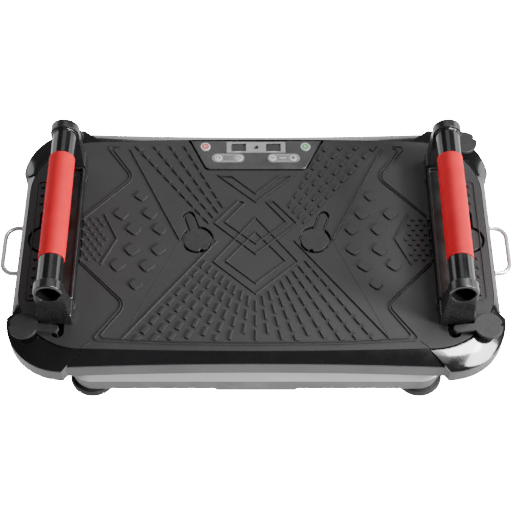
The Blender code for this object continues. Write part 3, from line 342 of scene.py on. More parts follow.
def keyhole(centre, direction, disc, tongue, length, notch=0.0):
    """A disc with a round-ended tongue along an angle in radians, and a notch opposite if asked."""
    spread = math.degrees(math.asin(tongue / disc))
    heading = math.degrees(direction)
    end = (centre[0] + length * math.cos(direction), centre[1] + length * math.sin(direction))
    if notch:
        bite = math.degrees(notch / disc)
        middle = (centre[0] - (disc + 0.001) * math.cos(direction),
                  centre[1] - (disc + 0.001) * math.sin(direction))
        points = arc(centre, disc, heading + spread, heading + 180 - bite, 26)
        points += arc(middle, notch, heading + 90, heading - 90, 10)[1:-1]
        points += arc(centre, disc, heading + 180 + bite, heading + 360 - spread, 26)
    else:
        points = arc(centre, disc, heading + spread, heading + 360 - spread, 52)
    points += arc(end, tongue, heading - 90, heading + 90, 14)
    return points


def console_sides(grow=0.0, top=CONSOLE_TOP_Y, steps=12):
    """The console's right edge, from its rounded lower corner up, and the mirrored left edge."""
    slope = (CONSOLE_TOP_X - CONSOLE_BOTTOM_X) / (CONSOLE_TOP_Y - CONSOLE_BOTTOM_Y)
    lean = math.degrees(math.atan(slope))
    centre = (CONSOLE_BOTTOM_X - CONSOLE_CORNER * 0.62, CONSOLE_BOTTOM_Y + CONSOLE_CORNER)
    right = arc(centre, CONSOLE_CORNER + grow, -90, -lean, steps)
    right.append((right[-1][0] + (top - right[-1][1]) * slope, top))
    left = [(-x, y) for x, y in reversed(right)]
    return right, left


def mat_outline():
    """The whole mat, with the notch that goes around the console."""
    slope_x = CONSOLE_TOP_X + 0.002
    right, left = console_sides(0.0036, mat_edge_y(slope_x))
    start_x = right[-1][0]
    rear = mat_quarter(0.0, start_x)
    front = mat_quarter()
    points = rear + [(x, -y) for x, y in reversed(front)] + [(-x, -y) for x, y in front]
    points += [(-x, y) for x, y in reversed(rear)] + left + right
    return tidy_loop(points)


def corner_sockets():
    """Each corner socket: its centre and the angle that its tongue points along."""
    sockets = {}
    for end, y_sign in (("front", -1), ("rear", 1)):
        for side, x_sign in (("left", -1), ("right", 1)):
            anchor = (x_sign * (SOCKET_X - 0.003), y_sign * (SOCKET_Y + STRAP_LENGTH))
            centre = (x_sign * SOCKET_X, y_sign * SOCKET_Y)
            heading = math.atan2(anchor[1] - centre[1], anchor[0] - centre[0])
            sockets[end + "_" + side] = (centre, heading)
    return sockets


def middle_sockets():
    return {
        "inner_left": ((-INNER_SOCKET_X, 0.0), math.pi / 2 + TONGUE_LEAN),
        "inner_right": ((INNER_SOCKET_X, 0.0), math.pi / 2 - TONGUE_LEAN),
        "outer_left": ((-OUTER_SOCKET_X, 0.0), math.pi / 2),
        "outer_right": ((OUTER_SOCKET_X, 0.0), math.pi / 2),
    }


def anchor_of(centre, heading):
    return (centre[0] + STRAP_LENGTH * math.cos(heading), centre[1] + STRAP_LENGTH * math.sin(heading))


def signed_area(points):
    return sum(a[0] * b[1] - b[0] * a[1] for a, b in zip(points, points[1:] + points[:1])) / 2


def offset(points, distance):
    """The closed outline moved outward by a distance, with mitred corners."""
    turn = 1 if signed_area(points) > 0 else -1
    moved = []
    for i, (x, y) in enumerate(points):
        before = points[i - 1]
        after = points[(i + 1) % len(points)]
        push_x, push_y = 0.0, 0.0
        for (ax, ay), (bx, by) in ((before, (x, y)), ((x, y), after)):
            length = math.dist((ax, ay), (bx, by))
            push_x += turn * (by - ay) / length
            push_y -= turn * (bx - ax) / length
        reach = 2 * distance / max(push_x ** 2 + push_y ** 2, 0.5)
        moved.append((x + push_x * reach, y + push_y * reach))
    return moved


def rounded_path(corners, closed=False, steps=8):
    """A path through (x, y, radius) corners, with an arc at each corner that has a radius."""
    points = []
    count = len(corners)
    for i, (x, y, radius) in enumerate(corners):
        inside = closed or 0 < i < count - 1
        if not radius or not inside:
            points.append((x, y))
            continue
        here = Vector((x, y))
        back = (Vector(corners[i - 1][:2]) - here).normalized()
        on = (Vector(corners[(i + 1) % count][:2]) - here).normalized()
        half = back.angle(on) / 2
        reach = radius / math.tan(half)
        middle = here + (back + on).normalized() * (radius / math.sin(half))
        first, last = here + back * reach, here + on * reach
        start = math.atan2(first.y - middle.y, first.x - middle.x)
        sweep = math.atan2(last.y - middle.y, last.x - middle.x) - start
        sweep = (sweep + math.pi) % (2 * math.pi) - math.pi
        points += arc(middle, radius, math.degrees(start), math.degrees(start + sweep), steps)
    return points


# ---------------------------------------------------------------- mesh building

def ring_of(edit, points):
    return [edit.verts.new(point) for point in points]


def bridge(edit, low, high, closed=True):
    count = len(low)
    for i in range(count if closed else count - 1):
        j = (i + 1) % count
        edit.faces.new((low[i], low[j], high[j], high[i]))


def skin(edit, rings, loop=False):
    """A closed body over rings of equal length, with end faces, or closed on itself."""
    loops = [ring_of(edit, ring) for ring in rings]
    for low, high in zip(loops, loops[1:]):
        bridge(edit, low, high)
    if loop:
        bridge(edit, loops[-1], loops[0])
    else:
        edit.faces.new(loops[0])
        edit.faces.new(loops[-1])


def rounding(top, edge, steps=3):
    """(inset, height) pairs that turn an upright wall into a level top."""
    pairs = []
    for i in range(steps + 1):
        angle = math.pi / 2 * i / steps
        pairs.append((edge * (1 - math.cos(angle)), top - edge + edge * math.sin(angle)))
    return pairs


def add_plate(edit, outer, holes, bottom, top, edge, low_edge=0.0, draft=0.0, steps=3, hole_edge=None):
    """A flat body with rounded upper edges, on closed outlines; holes go right through."""
    low_ends, high_ends = [], []
    hole_edge = edge if hole_edge is None else hole_edge
    for outline, inward, soft in [(outer, -1, edge)] + [(hole, 1, hole_edge) for hole in holes]:
        levels = [(-draft, bottom)]
        if low_edge:
            levels = [(inset, bottom + top - z) for inset, z in reversed(rounding(top, low_edge, steps))]
        levels += rounding(top, soft, steps) if soft else [(0.0, top)]
        loops = []
        for inset, z in levels:
            moved = offset(outline, inward * inset) if inset else outline
            loops.append(ring_of(edit, [(x, y, z) for x, y in moved]))
        for low, high in zip(loops, loops[1:]):
            bridge(edit, low, high)
        low_ends.append(loops[0])
        high_ends.append(loops[-1])
    for ends in (low_ends, high_ends):
        if holes:
            edges = []
            for loop in ends:
                for i in range(len(loop)):
                    edges.append(edit.edges.get((loop[i], loop[(i + 1) % len(loop)])))
            bmesh.ops.triangle_fill(edit, use_beauty=True, edges=edges)
        else:
            edit.faces.new(ends[0])


def add_turned(edit, profile, steps=ROUND, place=Matrix.Identity(4)):
    """A body of revolution about Z from (radius, z) points; a radius of 0 is a pole."""
    loops = []
    for radius, z in profile:
        if radius < 1e-7:
            loops.append([edit.verts.new(place @ Vector((0.0, 0.0, z)))])
        else:
            flat = circle((0.0, 0.0), radius, steps)
            loops.append(ring_of(edit, [place @ Vector((x, y, z)) for x, y in flat]))
    for low, high in zip(loops, loops[1:]):
        if len(low) == 1 and len(high) == 1:
            continue
        if len(low) == 1 or len(high) == 1:
            pole, rim = (low[0], high) if len(low) == 1 else (high[0], low)
            for i in range(len(rim)):
                edit.faces.new((pole, rim[i], rim[(i + 1) % len(rim)]))
        else:
            bridge(edit, low, high)


def add_ribbon(edit, path, half, bottom, top, closed=False, foot=0.0003):
    """A low rib with a rounded top and spreading sides along a flat path."""
    edge = min(half * 0.6, (top - bottom) * 0.7)
    section = [(-half - foot, bottom)]
    section += [(-half + inset, z) for inset, z in rounding(top, edge, 2)]
    section += [(half - inset, z) for inset, z in reversed(rounding(top, edge, 2))]
    section.append((half + foot, bottom))
    rings = []
    count = len(path)
    for i, (x, y) in enumerate(path):
        back = path[i - 1] if closed or i else None
        on = path[(i + 1) % count] if closed or i < count - 1 else None
        normals = []
        for a, b in ((back, (x, y)), ((x, y), on)):
            if a is not None and b is not None:
                length = math.dist(a, b)
                normals.append(((b[1] - a[1]) / length, (a[0] - b[0]) / length))
        sum_x = sum(n[0] for n in normals)
        sum_y = sum(n[1] for n in normals)
        scale = len(normals) / max(sum_x ** 2 + sum_y ** 2, 0.5)
        rings.append([(x + sum_x * scale * u, y + sum_y * scale * u, z) for u, z in section])
    skin(edit, rings, loop=closed)


def piece(edit, name, look, body, replaces=(), angle=SMOOTH_ANGLE):
    """Makes the object, shades it, and says what it rides on and stands for."""
    bmesh.ops.recalc_face_normals(edit, faces=edit.faces)
    mesh = bpy.data.meshes.new(name)
    edit.to_mesh(mesh)
    edit.free()
    mesh.shade_smooth()
    mesh.set_sharp_from_angle(angle=angle)
    obj = bpy.data.objects.new(name, mesh)
    bpy.context.scene.collection.objects.link(obj)
    return dress(obj, look, body, replaces)


def dress(obj, look, body, replaces=()):
    obj.data.materials.append(LOOKS[look])
    if obj.type == "MESH":
        weighted = obj.modifiers.new("weighted normals", "WEIGHTED_NORMAL")
        weighted.keep_sharp = True
        weighted.weight = 80
    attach(obj, body)
    if replaces:
        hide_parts(*replaces)
    return obj


def plate_piece(outer, holes, bottom, top, edge, name, look, body, slot, replaces=(), **more):
    edit = bmesh.new()
    add_plate(edit, outer, holes, bottom, top, edge, **more)
    return piece(edit, name, look, body, replaces)


# ---------------------------------------------------------------- mat

def build_mat_sheet():
    holes = []
    for centre, heading in {**corner_sockets(), **middle_sockets()}.values():
        holes.append(keyhole(centre, heading, SOCKET_RADIUS, TONGUE_HALF, STRAP_LENGTH))
    plate_piece(mat_outline(), holes, MAT_BOTTOM, MAT_TOP, 0.0007, "mat_sheet", "mat_rubber", "deck",
                "mat_rubber",
                ["deck_mat"])


def mm(points):
    return [tuple(value / 1000 for value in point) for point in points]


def mirrored(points):
    return [(-point[0], *point[1:]) for point in points]


def clip_below(points, floor_y):
    """The part of an outline above a level line."""
    kept = []
    for i, (x, y) in enumerate(points):
        next_x, next_y = points[(i + 1) % len(points)]
        if y >= floor_y:
            kept.append((x, y))
        if (y >= floor_y) != (next_y >= floor_y):
            share = (floor_y - y) / (next_y - y)
            kept.append((x + (next_x - x) * share, floor_y))
    return kept


def dash(centre, heading, near, length, near_half, far_half):
    """A bar that points away from a centre, between two distances, a little wider at its far end."""
    along = (math.cos(heading), math.sin(heading))
    across = (-along[1], along[0])
    corners = []
    for distance, half in ((near, near_half), (near + length, far_half)):
        for side in (1, -1) if distance == near else (-1, 1):
            corners.append((centre[0] + along[0] * distance + across[0] * side * half,
                            centre[1] + along[1] * distance + across[1] * side * half))
    return corners


def front_fan():
    """Seventeen rows of bars up from the front edge; the outer rows lean more and widen more."""
    bars = []
    for row in range(9):
        lean = math.atan(0.120 * row - 0.0037 * row ** 2)
        foot_x = 0.0182 * row + 0.00047 * row ** 2
        pitch = 0.0264 - 0.00115 * row + 0.000065 * row ** 2
        length = 0.70 * pitch
        y = -0.136 + 0.0102 * row
        while y + length * math.cos(lean) > FAN_FRONT_Y:
            x = foot_x - (y + 0.176) * math.tan(lean)
            half = 0.0012 + 0.0003 * row * max(0.0, (-y - 0.085) / 0.090)
            bar = dash((x, y), math.pi / 2 + lean, 0.0, length, half, half - 0.00003 * row)
            bar = clip_below(bar, FAN_FRONT_Y)
            if len(bar) > 2 and abs(signed_area(bar)) > 0.00002:
                bars += [bar, mirrored(bar)] if row else [bar]
            y -= pitch * math.cos(lean)
    return bars


def rear_fans():
    """Four rows of bars on each side of the console, which lean and widen towards the rear edge."""
    bars = []
    for row in range(4):
        foot_x = 0.054 + 0.0076 * row
        foot_y = 0.063 - 0.0105 * row
        lean = math.radians(27.3 + 3.6 * row)
        pitch = 0.0221 - 0.00027 * row
        for step in range(7 + row):
            x = foot_x + step * pitch * math.sin(lean)
            y = foot_y + step * pitch * math.cos(lean)
            half = 0.0009 + 0.00022 * step
            bar = dash((x, y), math.pi / 2 - lean, 0.0, 0.0138, half, half + 0.0003)
            bar = [(u, -v) for u, v in clip_below([(u, -v) for u, v in bar], -FAN_REAR_Y)]
            if len(bar) > 2 and abs(signed_area(bar)) > 0.000012:
                bars += [bar, mirrored(bar)]
    return bars


def corner_pads():
    """Rounded squares, turned part way round, in two groups beside each fan."""
    pads = []
    spots = ((0.190, 0.086, 0.0085), (0.2205, 0.050, 0.0098), (0.1735, 0.051, 0.0098),
             (0.199, 0.020, 0.0100),
             (0.1565, 0.020, 0.0095))
    for x, y, half in spots:
        for sign_x in (-1, 1):
            for sign_y in (-1, 1):
                turn = math.radians(38) * sign_x * sign_y
                outline = []
                for u, v in rounded_rectangle(half, half * 0.88, half * 0.45, 5):
                    outline.append((sign_x * x + u * math.cos(turn) - v * math.sin(turn),
                                    sign_y * y + u * math.sin(turn) + v * math.cos(turn)))
                pads.append(outline)
    return pads


def small_dots():
    """Round pimples: a field inside each bar, and a column outside it."""
    pitch = 0.013
    dots = []
    for row in range(-4, 5):
        y = row * pitch * 0.5 * math.sqrt(3) * 0.86
        limit = 0.236 + 0.0165 * abs(y) / 0.042
        for column in range(6):
            x = 0.2815 - (column + (0.5 if row % 2 else 0.0)) * pitch
            if x > limit and abs(y) < 0.043:
                dots += [(-x, y), (x, y)]
    for i in range(5):
        y = 0.0375 + 0.017 * i
        for sign in (-1, 1):
            dots.append((sign * 0.3545, -y))
            if y > 0.064:
                dots.append((sign * 0.3545, y))
    return dots


def field_border(grow):
    """The rounded line around the middle field, waisted beside each bar's feet; grow is inward."""
    inset = grow * 1000
    waist = [(281, 46 - inset, 6), (207 - inset * 1.25, 124, 16 + inset)]
    front = [(0, inset - 196, 0), (128, inset - 194.5, 0), (253 - inset * 2.4, inset - 188, 5)]
    rear = [(253 - inset * 2.4, 190 - inset, 5), (232, 190.6 - inset, 0)]
    right = mm(front + [(x, -y, r) for x, y, r in reversed(waist)] + waist + rear)
    return rounded_path([*reversed(mirrored(right[1:])), *right], steps=10)


def build_mat_relief():
    """Everything that stands up from the mat, in one piece of the same rubber."""
    sink = MAT_TOP - SINK
    edit = bmesh.new()
    for bar in front_fan() + rear_fans():
        add_plate(edit, bar, [], sink, MAT_TOP + BAR_RISE, 0.0004, draft=BAR_SPREAD, steps=2)
    for outline in corner_pads():
        add_plate(edit, outline, [], sink, MAT_TOP + PAD_RISE, 0.0004, draft=PAD_SPREAD, steps=2)
    for x, y in small_dots():
        dot = circle((x, y), DOT_RADIUS, 14)
        add_plate(edit, dot, [], sink, MAT_TOP + DOT_RISE, 0.0008, draft=DOT_SPREAD, steps=2)

    chevron = mm([(-62, 128), (0, 74), (62, 128), (40, 127), (0, 91), (-40, 127)])
    upper = mm([(-28, 77), (-67, 31), (0, -29), (67, 31), (28, 77), (18, 73), (50, 33), (0, -9), (-50, 33),
                (-18, 73)])
    lower = mm([(0, 43), (-67.5, -44), (0, -104), (67.5, -44)])
    inside = mm([(0, 14), (-48, -43), (0, -84.5), (48, -43)])
    for outline, high in ((chevron, 0.0024), (upper, 0.0024), (lower, 0.0022), (inside, 0.0022)):
        add_ribbon(edit, outline, 0.0008, sink, MAT_TOP + high, closed=True, foot=0.0015)

    for path in ([(62, -3), (207, -187)], [(213, 184), (123.5, -1)], [(248, 49), (225, 0)],
                 [(225, 0), (248, -49)]):
        for line in (mm(path), mirrored(mm(path))):
            add_ribbon(edit, line, 0.0008, sink, MAT_TOP + 0.0024, foot=0.0017)
    for line in (mm([(124, -3), (205, -182)]), mirrored(mm([(124, -3), (205, -182)]))):
        add_ribbon(edit, line, 0.0004, sink, MAT_TOP + 0.0004)
    for sign in (-1, 1):
        seam = [(sign * 0.2545, -0.1895), (sign * 0.2665, -0.2005)]
        add_ribbon(edit, seam, 0.0007, sink, MAT_TOP + 0.0010)
        column = rounded_path([(sign * 0.3460, -0.1155, 0), (sign * 0.3625, -0.1155, 0.006),
                               (sign * 0.3625, 0.1155, 0.006), (sign * 0.3460, 0.1155, 0)])
        add_ribbon(edit, column, 0.0006, sink, MAT_TOP + 0.0016, foot=0.0010)
    for grow in (0.0, 0.0042):
        add_ribbon(edit, field_border(grow), 0.0006, sink, MAT_TOP + 0.0021, foot=0.0013)
    piece(edit, "mat_relief", "mat_rubber", "deck")


# ---------------------------------------------------------------- deck

def strip_ring(near, far, low, high, edge_z):
    """One cross-section of a sloping rim strip between an inner and an outer point."""
    width = math.dist(near, far)
    soft = 0.0007 / width
    drop = high - edge_z
    levels = [(0.0, low), (0.0, high - 0.0007), (soft * 0.3, high - 0.0002), (soft, high)]
    for share in (0.2, 0.4, 0.6, 0.8):
        levels.append((share, high - drop * share ** 1.15))
    levels += [(1 - soft, edge_z + 0.0002), (1 - soft * 0.3, edge_z - 0.0002), (1.0, edge_z - 0.0007),
               (1.0, low)]
    return [(near[0] + (far[0] - near[0]) * s, near[1] + (far[1] - near[1]) * s, z) for s, z in levels]


def build_platform():
    """The gloss moulding: four sloping strips between the corner caps, and the tray under the mat."""
    edge_z = PLATFORM_BOTTOM + 0.0016
    steps = 40
    edit = bmesh.new()
    seam_near = MAT_CENTRE[0] - 0.0044
    seam_far = 0.2880
    for sign in (-1, 1):
        rings = []
        for i in range(steps + 1):
            share = 2 * i / steps - 1
            near_x, far_x = seam_near * share, seam_far * share
            near = (near_x, sign * mat_edge_y(near_x, GAP))
            far = (far_x, sign * rim_edge_y(far_x))
            rings.append(strip_ring(near, far, PLATFORM_BOTTOM, RIM_TOP, edge_z))
        skin(edit, rings)

    seam_turn = 18.2
    centre_x, centre_y = MAT_CENTRE
    reach = MAT_CORNER + GAP
    near_side = arc((centre_x, centre_y), reach, seam_turn, 0, 12) + [(centre_x + reach, 0.0)]
    seam_y = centre_y + reach * math.sin(math.radians(seam_turn))
    for sign in (-1, 1):
        half = []
        for x, y in near_side:
            far_y = min(y, seam_y) * 1.018 if y else 0.0
            half.append(strip_ring((sign * x, y), (sign * DECK_HALF_X, far_y), PLATFORM_BOTTOM, RIM_TOP,
                                   edge_z))
        other = [[(x, -y, z) for x, y, z in ring] for ring in reversed(half[:-1])]
        skin(edit, half + other)

    holes = []
    for centre, heading in {**corner_sockets(), **middle_sockets()}.values():
        holes.append(circle(centre, SOCKET_BORE, 40))
    right, left = console_sides(-0.004, CONSOLE_TOP_Y - 0.003)
    holes.append(right + left)
    add_plate(edit, offset(four_ways(mat_quarter()), -0.002), holes, PLATFORM_BOTTOM, PLATFORM_FLOOR,
              0.0004)
    piece(edit, "platform_moulding", "gloss_black", "deck", ["top_platform"])


def cap_height(share):
    return RIM_TOP - (RIM_TOP - CAP_EDGE_TOP) * share ** 1.5


def build_corner_cap(end, y_sign, side, x_sign):
    """A domed cap with soft edges; its section is swept round the corner."""
    steps = 36
    inner = arc(MAT_CENTRE, MAT_CORNER + CAP_INSET, 91.5, 19, steps)
    outer = arc(CAP_CENTRE, CAP_RADIUS, 90, 0, steps)
    rings = []
    for near, far in zip(inner, outer):
        width = math.dist(near, far)
        soft = 0.0010 / width
        levels = [(0.0, PLATFORM_BOTTOM), (0.0, RIM_TOP - 0.0010), (soft * 0.3, RIM_TOP - 0.0003)]
        for k in range(11):
            share = soft + (1 - 2 * soft) * k / 10
            levels.append((share, cap_height(share)))
        levels += [(1 - soft * 0.3, CAP_EDGE_TOP - 0.0004), (1.0, CAP_EDGE_TOP - 0.0011),
                   (1.0, PLATFORM_BOTTOM)]
        rings.append([(x_sign * (near[0] + (far[0] - near[0]) * s),
                       y_sign * (near[1] + (far[1] - near[1]) * s), z)
                      for s, z in levels])
    edit = bmesh.new()
    skin(edit, rings)
    name = "corner_cap_" + end + "_" + side
    piece(edit, "cap_" + end + "_" + side, "gloss_black", "deck", [name])


def build_skirt():
    """The grey skirt of the deck: one wall with a soft lower edge, closed on top."""
    rings = []
    for inset, z in ((SHELL_WALL, SHELL_TOP - SHELL_WALL), (SHELL_WALL, SKIRT_BOTTOM + 0.0006),
                     (SHELL_WALL - 0.0007, SKIRT_BOTTOM), (0.0009, SKIRT_BOTTOM),
                     (0.0002, SKIRT_BOTTOM + 0.0003),
                     (0.0, SKIRT_BOTTOM + 0.0010), (0.0, SHELL_TOP - 0.0006), (0.0006, SHELL_TOP)):
        rings.append([(x, y, z) for x, y in four_ways(shell_quarter(inset))])
    edit = bmesh.new()
    skin(edit, rings)
    piece(edit, "deck_skirt", "skirt_grey", "deck", ["deck_shell"])


def build_loops():
    low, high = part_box("side_loop_right")
    rod = (high.z - low.z) / 2
    reach = high.x - rod
    half_y = (high.y - low.y) / 2 - rod
    bend = 0.020
    axis_z = (low.z + high.z) / 2
    for side, sign in (("left", -1), ("right", 1)):
        path = [(low.x, -half_y), (DECK_HALF_X, -half_y)]
        path += arc((reach - bend, -half_y + bend), bend, -90, 0, 14)
        path += arc((reach - bend, half_y - bend), bend, 0, 90, 14)
        path += [(DECK_HALF_X, half_y), (low.x, half_y)]
        curve = bpy.data.curves.new("side_rod_" + side, "CURVE")
        curve.dimensions = "3D"
        curve.bevel_depth = rod
        curve.bevel_resolution = 6
        curve.use_fill_caps = True
        spline = curve.splines.new("POLY")
        spline.points.add(len(path) - 1)
        for point, (x, y) in zip(spline.points, path):
            point.co = (sign * x, y, axis_z, 1.0)
        spline.use_smooth = True
        obj = bpy.data.objects.new("side_rod_" + side, curve)
        bpy.context.scene.collection.objects.link(obj)
        dress(obj, "chrome", "deck", ["side_loop_" + side])
        edit = bmesh.new()
        turn = Matrix.Rotation(sign * math.pi / 2, 4, "Y")
        for y in (-half_y, half_y):
            place = Matrix.Translation((sign * (DECK_HALF_X - 0.001), y, axis_z)) @ turn
            profile = [(rod + 0.0001, 0.0), (0.0072, 0.0), (0.0072, 0.0018), (0.0066, 0.0026),
                       (0.0052, 0.0029),
                       (rod + 0.0001, 0.0029)]
            add_turned(edit, profile + profile[:1], 32, place)
        piece(edit, "rod_collars_" + side, "satin_black", "deck")


# ---------------------------------------------------------------- base

def build_base_shell():
    """The lower housing with its draft, soft lower edge and inlet window."""
    outside = []
    for share in (0.0, 0.25, 0.5, 0.75, 1.0):
        z = FOOT_HEIGHT + 0.0022 + (TRAY_TOP - FOOT_HEIGHT - 0.0022) * share
        outside.append((-BASE_DRAFT * (TRAY_TOP - z) / (TRAY_TOP - FOOT_HEIGHT), z))
    outside = [(-BASE_DRAFT - 0.0022, FOOT_HEIGHT), (-BASE_DRAFT - 0.0008, FOOT_HEIGHT + 0.0006)] + outside
    rings = [[(x, y, z) for x, y in base_outline(grow)] for grow, z in outside]
    inside = [(-0.0006, TRAY_TOP), (-BASE_WALL + 0.0004, TRAY_TOP),
              (-BASE_DRAFT - BASE_WALL, FOOT_HEIGHT + BASE_WALL)]
    rings += [[(x, y, z) for x, y in base_outline(grow)] for grow, z in inside]
    edit = bmesh.new()
    skin(edit, rings)
    tray = piece(edit, "base_housing", "base_grey", "base", ["base_tray"])
    low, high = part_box("inlet_module")
    cutter_edit = bmesh.new()
    bmesh.ops.create_cube(cutter_edit, size=1.0)
    size = (high.x - low.x + 0.0008, 0.04, high.z - low.z + 0.0008)
    middle = ((low.x + high.x) / 2, high.y, (low.z + high.z) / 2)
    bmesh.ops.transform(cutter_edit, verts=cutter_edit.verts,
                        matrix=Matrix.Translation(middle) @ Matrix.Diagonal((*size, 1.0)))
    cut_through(tray, cutter_edit)

    edit = bmesh.new()
    front = BASE_HALF_Y - BASE_DRAFT - 0.0010
    lip = [(x, y - front + 0.0036) for x, y in rounded_rectangle(LIP_HALF_X, 0.0034, 0.003, 6)]
    add_plate(edit, lip, [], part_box("base_tray")[0].z, FOOT_HEIGHT + 0.0015, 0.0003, low_edge=0.0012)
    piece(edit, "front_lip", "base_grey", "base")


def cut_through(obj, cutter_edit):
    """Applies one Boolean cut and keeps the result as the object's mesh."""
    mesh = bpy.data.meshes.new("cutter")
    cutter_edit.to_mesh(mesh)
    cutter_edit.free()
    cutter = bpy.data.objects.new("cutter", mesh)
    bpy.context.scene.collection.objects.link(cutter)
    modifier = obj.modifiers.new("cut", "BOOLEAN")
    modifier.operation = "DIFFERENCE"
    modifier.solver = "EXACT"
    modifier.object = cutter
    weighted = obj.modifiers["weighted normals"]
    weighted.show_viewport = False
    bpy.context.view_layer.update()
    graph = bpy.context.evaluated_depsgraph_get()
    shaped = bpy.data.meshes.new_from_object(obj.evaluated_get(graph))
    obj.modifiers.remove(modifier)
    weighted.show_viewport = True
    obj.data = shaped
    shaped.shade_smooth()
    shaped.set_sharp_from_angle(angle=SMOOTH_ANGLE)
    bpy.data.objects.remove(cutter)


def build_band():
    """The bright chamfered band on top of the base."""
    outer = [(0.0, BAND_BOTTOM), (0.0, BAND_BOTTOM + 0.0004), (-0.0003, BAND_BOTTOM + 0.0010),
             (-BASE_CHAMFER + 0.0006, BAND_TOP - 0.0006), (-BASE_CHAMFER - 0.0002, BAND_TOP)]
    inner = [(-BASE_CHAMFER - BASE_WALL, BAND_TOP), (-BASE_WALL + 0.0003, BAND_BOTTOM)]
    edit = bmesh.new()
    skin(edit, [[(x, y, z) for x, y in base_outline(grow)] for grow, z in outer + inner], loop=True)
    piece(edit, "silver_band", "silver_band", "base", ["base_band"])


def build_feet():
    """Rubber feet with a neck, a stepped skirt, fine ribs and a shallow hollow."""
    for end in ("front", "rear"):
        for side in ("left", "right"):
            node = "foot_" + end + "_" + side
            low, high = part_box(node)
            radius = (high.x - low.x) / 2
            top = high.z
            profile = [(0.0, top), (0.0195, top), (0.0215, top - 0.001), (0.0225, 0.0165), (0.0235, 0.0140)]
            for k in range(4):
                r = 0.0255 + 0.0028 * k
                z = 0.0132 - 0.0007 * k
                profile += [(r, z), (r + 0.0010, z + 0.0003), (r + 0.0019, z - 0.0002)]
            profile += [(0.0364, 0.0090), (radius - 0.0006, 0.0060), (radius, 0.0030), (radius, 0.0012),
                        (radius - 0.0007, 0.0003), (radius - 0.0016, 0.0), (0.024, 0.0), (0.0225, 0.0006),
                        (0.010, 0.0018), (0.0, 0.0020)]
            edit = bmesh.new()
            place = Matrix.Translation(((low.x + high.x) / 2, (low.y + high.y) / 2, 0.0))
            add_turned(edit, profile, 64, place)
            piece(edit, "rubber_" + node, "black_rubber", "base", [node])


# ---------------------------------------------------------------- console

def build_console():
    right, left = console_sides()
    low, high = DISPLAY_LOW, DISPLAY_HIGH
    window = [(low.x - GAP, low.y - GAP), (high.x + GAP, low.y - GAP), (high.x + GAP, high.y + GAP),
              (low.x - GAP, high.y + GAP)]
    holes = [circle((x, y), radius + 0.0004, 40) for x, y, radius in BUTTONS.values()]
    plate_piece(right + left, [window, *holes], PANEL_BOTTOM, PANEL_TOP, 0.0009, "console_face",
                "console_grey",
                "deck", "console_grey", ["console_panel"])

    windows = []
    for x in (-WINDOW_X, WINDOW_X):
        frame_shape = rounded_rectangle(WINDOW_HALF_X, WINDOW_HALF_Y, 0.0006, 3)
        windows.append([(x + u, DISPLAY_Y + v) for u, v in frame_shape])
    windows.append(circle((0.0, DISPLAY_Y), SENSOR_RADIUS, 32))
    outline = [(u, DISPLAY_Y + v) for u, v in rounded_rectangle(high.x, (high.y - low.y) / 2, 0.0008, 3)]
    plate_piece(outline, windows, PANEL_TOP - 0.0016, high.z, 0.0003, "display_frame", "bezel_grey", "deck",
                "light_grey", ["display_bezel"])

    low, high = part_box("display_window")
    pane = rounded_rectangle(high.x, (high.y - low.y) / 2, 0.001, 3)
    sheet = [(u, (low.y + high.y) / 2 + v) for u, v in pane]
    plate_piece(sheet, [], low.z, high.z, 0.0002, "display_glass", "window_dark", "deck", "window_dark",
                ["display_window"])

    edit = bmesh.new()
    for x in (-WINDOW_X, WINDOW_X):
        bar = [(x + u, DISPLAY_LOW.y + 0.0016 + v) for u, v in rounded_rectangle(0.0052, 0.0007, 0.0003, 2)]
        add_plate(edit, bar, [], DISPLAY_HIGH.z - 0.0002, DISPLAY_HIGH.z + 0.00012, 0.0)
    add_plate(edit, [(0.0455 + u, PAD_Y + v) for u, v in rounded_rectangle(0.0062, 0.0012, 0.0005, 2)], [],
              PANEL_TOP, PANEL_TOP + 0.00055, 0.0)
    piece(edit, "display_marks", "button_white", "deck")

    for name, low_x, high_x in (("left_pad", -0.0745, -0.0195), ("right_pad", 0.0195, 0.0745)):
        holes = [circle((x, y), radius + 0.0004, 40) for x, y, radius in BUTTONS.values()
                 if low_x < x < high_x and abs(y - PAD_Y) < 0.001]
        plate_piece(pill(low_x, high_x, PAD_Y, 0.0092, 20), holes, PANEL_TOP - 0.0004, PANEL_TOP + 0.0003,
                    0.0002,
                    name, "pad_grey", "deck", "light_grey")
    inlay = [(u - 0.0465, PAD_Y + v) for u, v in rounded_rectangle(0.0085, 0.0052, 0.0006, 3)]
    plate_piece(inlay, [], PANEL_TOP, PANEL_TOP + 0.0004, 0.0, "left_pad_inlay", "pad_dark", "deck",
                "light_grey")
    inlay = [(u + 0.0455, PAD_Y + v) for u, v in rounded_rectangle(0.0085, 0.0034, 0.0006, 3)]
    plate_piece(inlay, [], PANEL_TOP, PANEL_TOP + 0.0004, 0.0, "right_pad_inlay", "pad_dark", "deck",
                "light_grey")


def icon(button, name, look, shapes, height):
    """Thin printed shapes on a button's top; each shape is an outline with its holes."""
    x, y, radius = BUTTONS[button]
    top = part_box(button)[1].z
    edit = bmesh.new()
    for outer, holes in shapes:
        moved = [(x + u, y + v) for u, v in outer]
        moved_holes = [[(x + u, y + v) for u, v in hole] for hole in holes]
        add_plate(edit, moved, moved_holes, top - 0.0004, top + height, 0.0)
    piece(edit, name, look, button)


def bar_shape(half_x, half_y, turn=0.0, centre=(0.0, 0.0)):
    points = []
    for u, v in rounded_rectangle(half_x, half_y, min(half_x, half_y) * 0.4, 2):
        points.append((centre[0] + u * math.cos(turn) - v * math.sin(turn),
                       centre[1] + u * math.sin(turn) + v * math.cos(turn)))
    return points


def open_ring(radius, half, start, end):
    return arc((0.0, 0.0), radius + half, start, end, 24) + arc((0.0, 0.0), radius - half, end, start, 24)


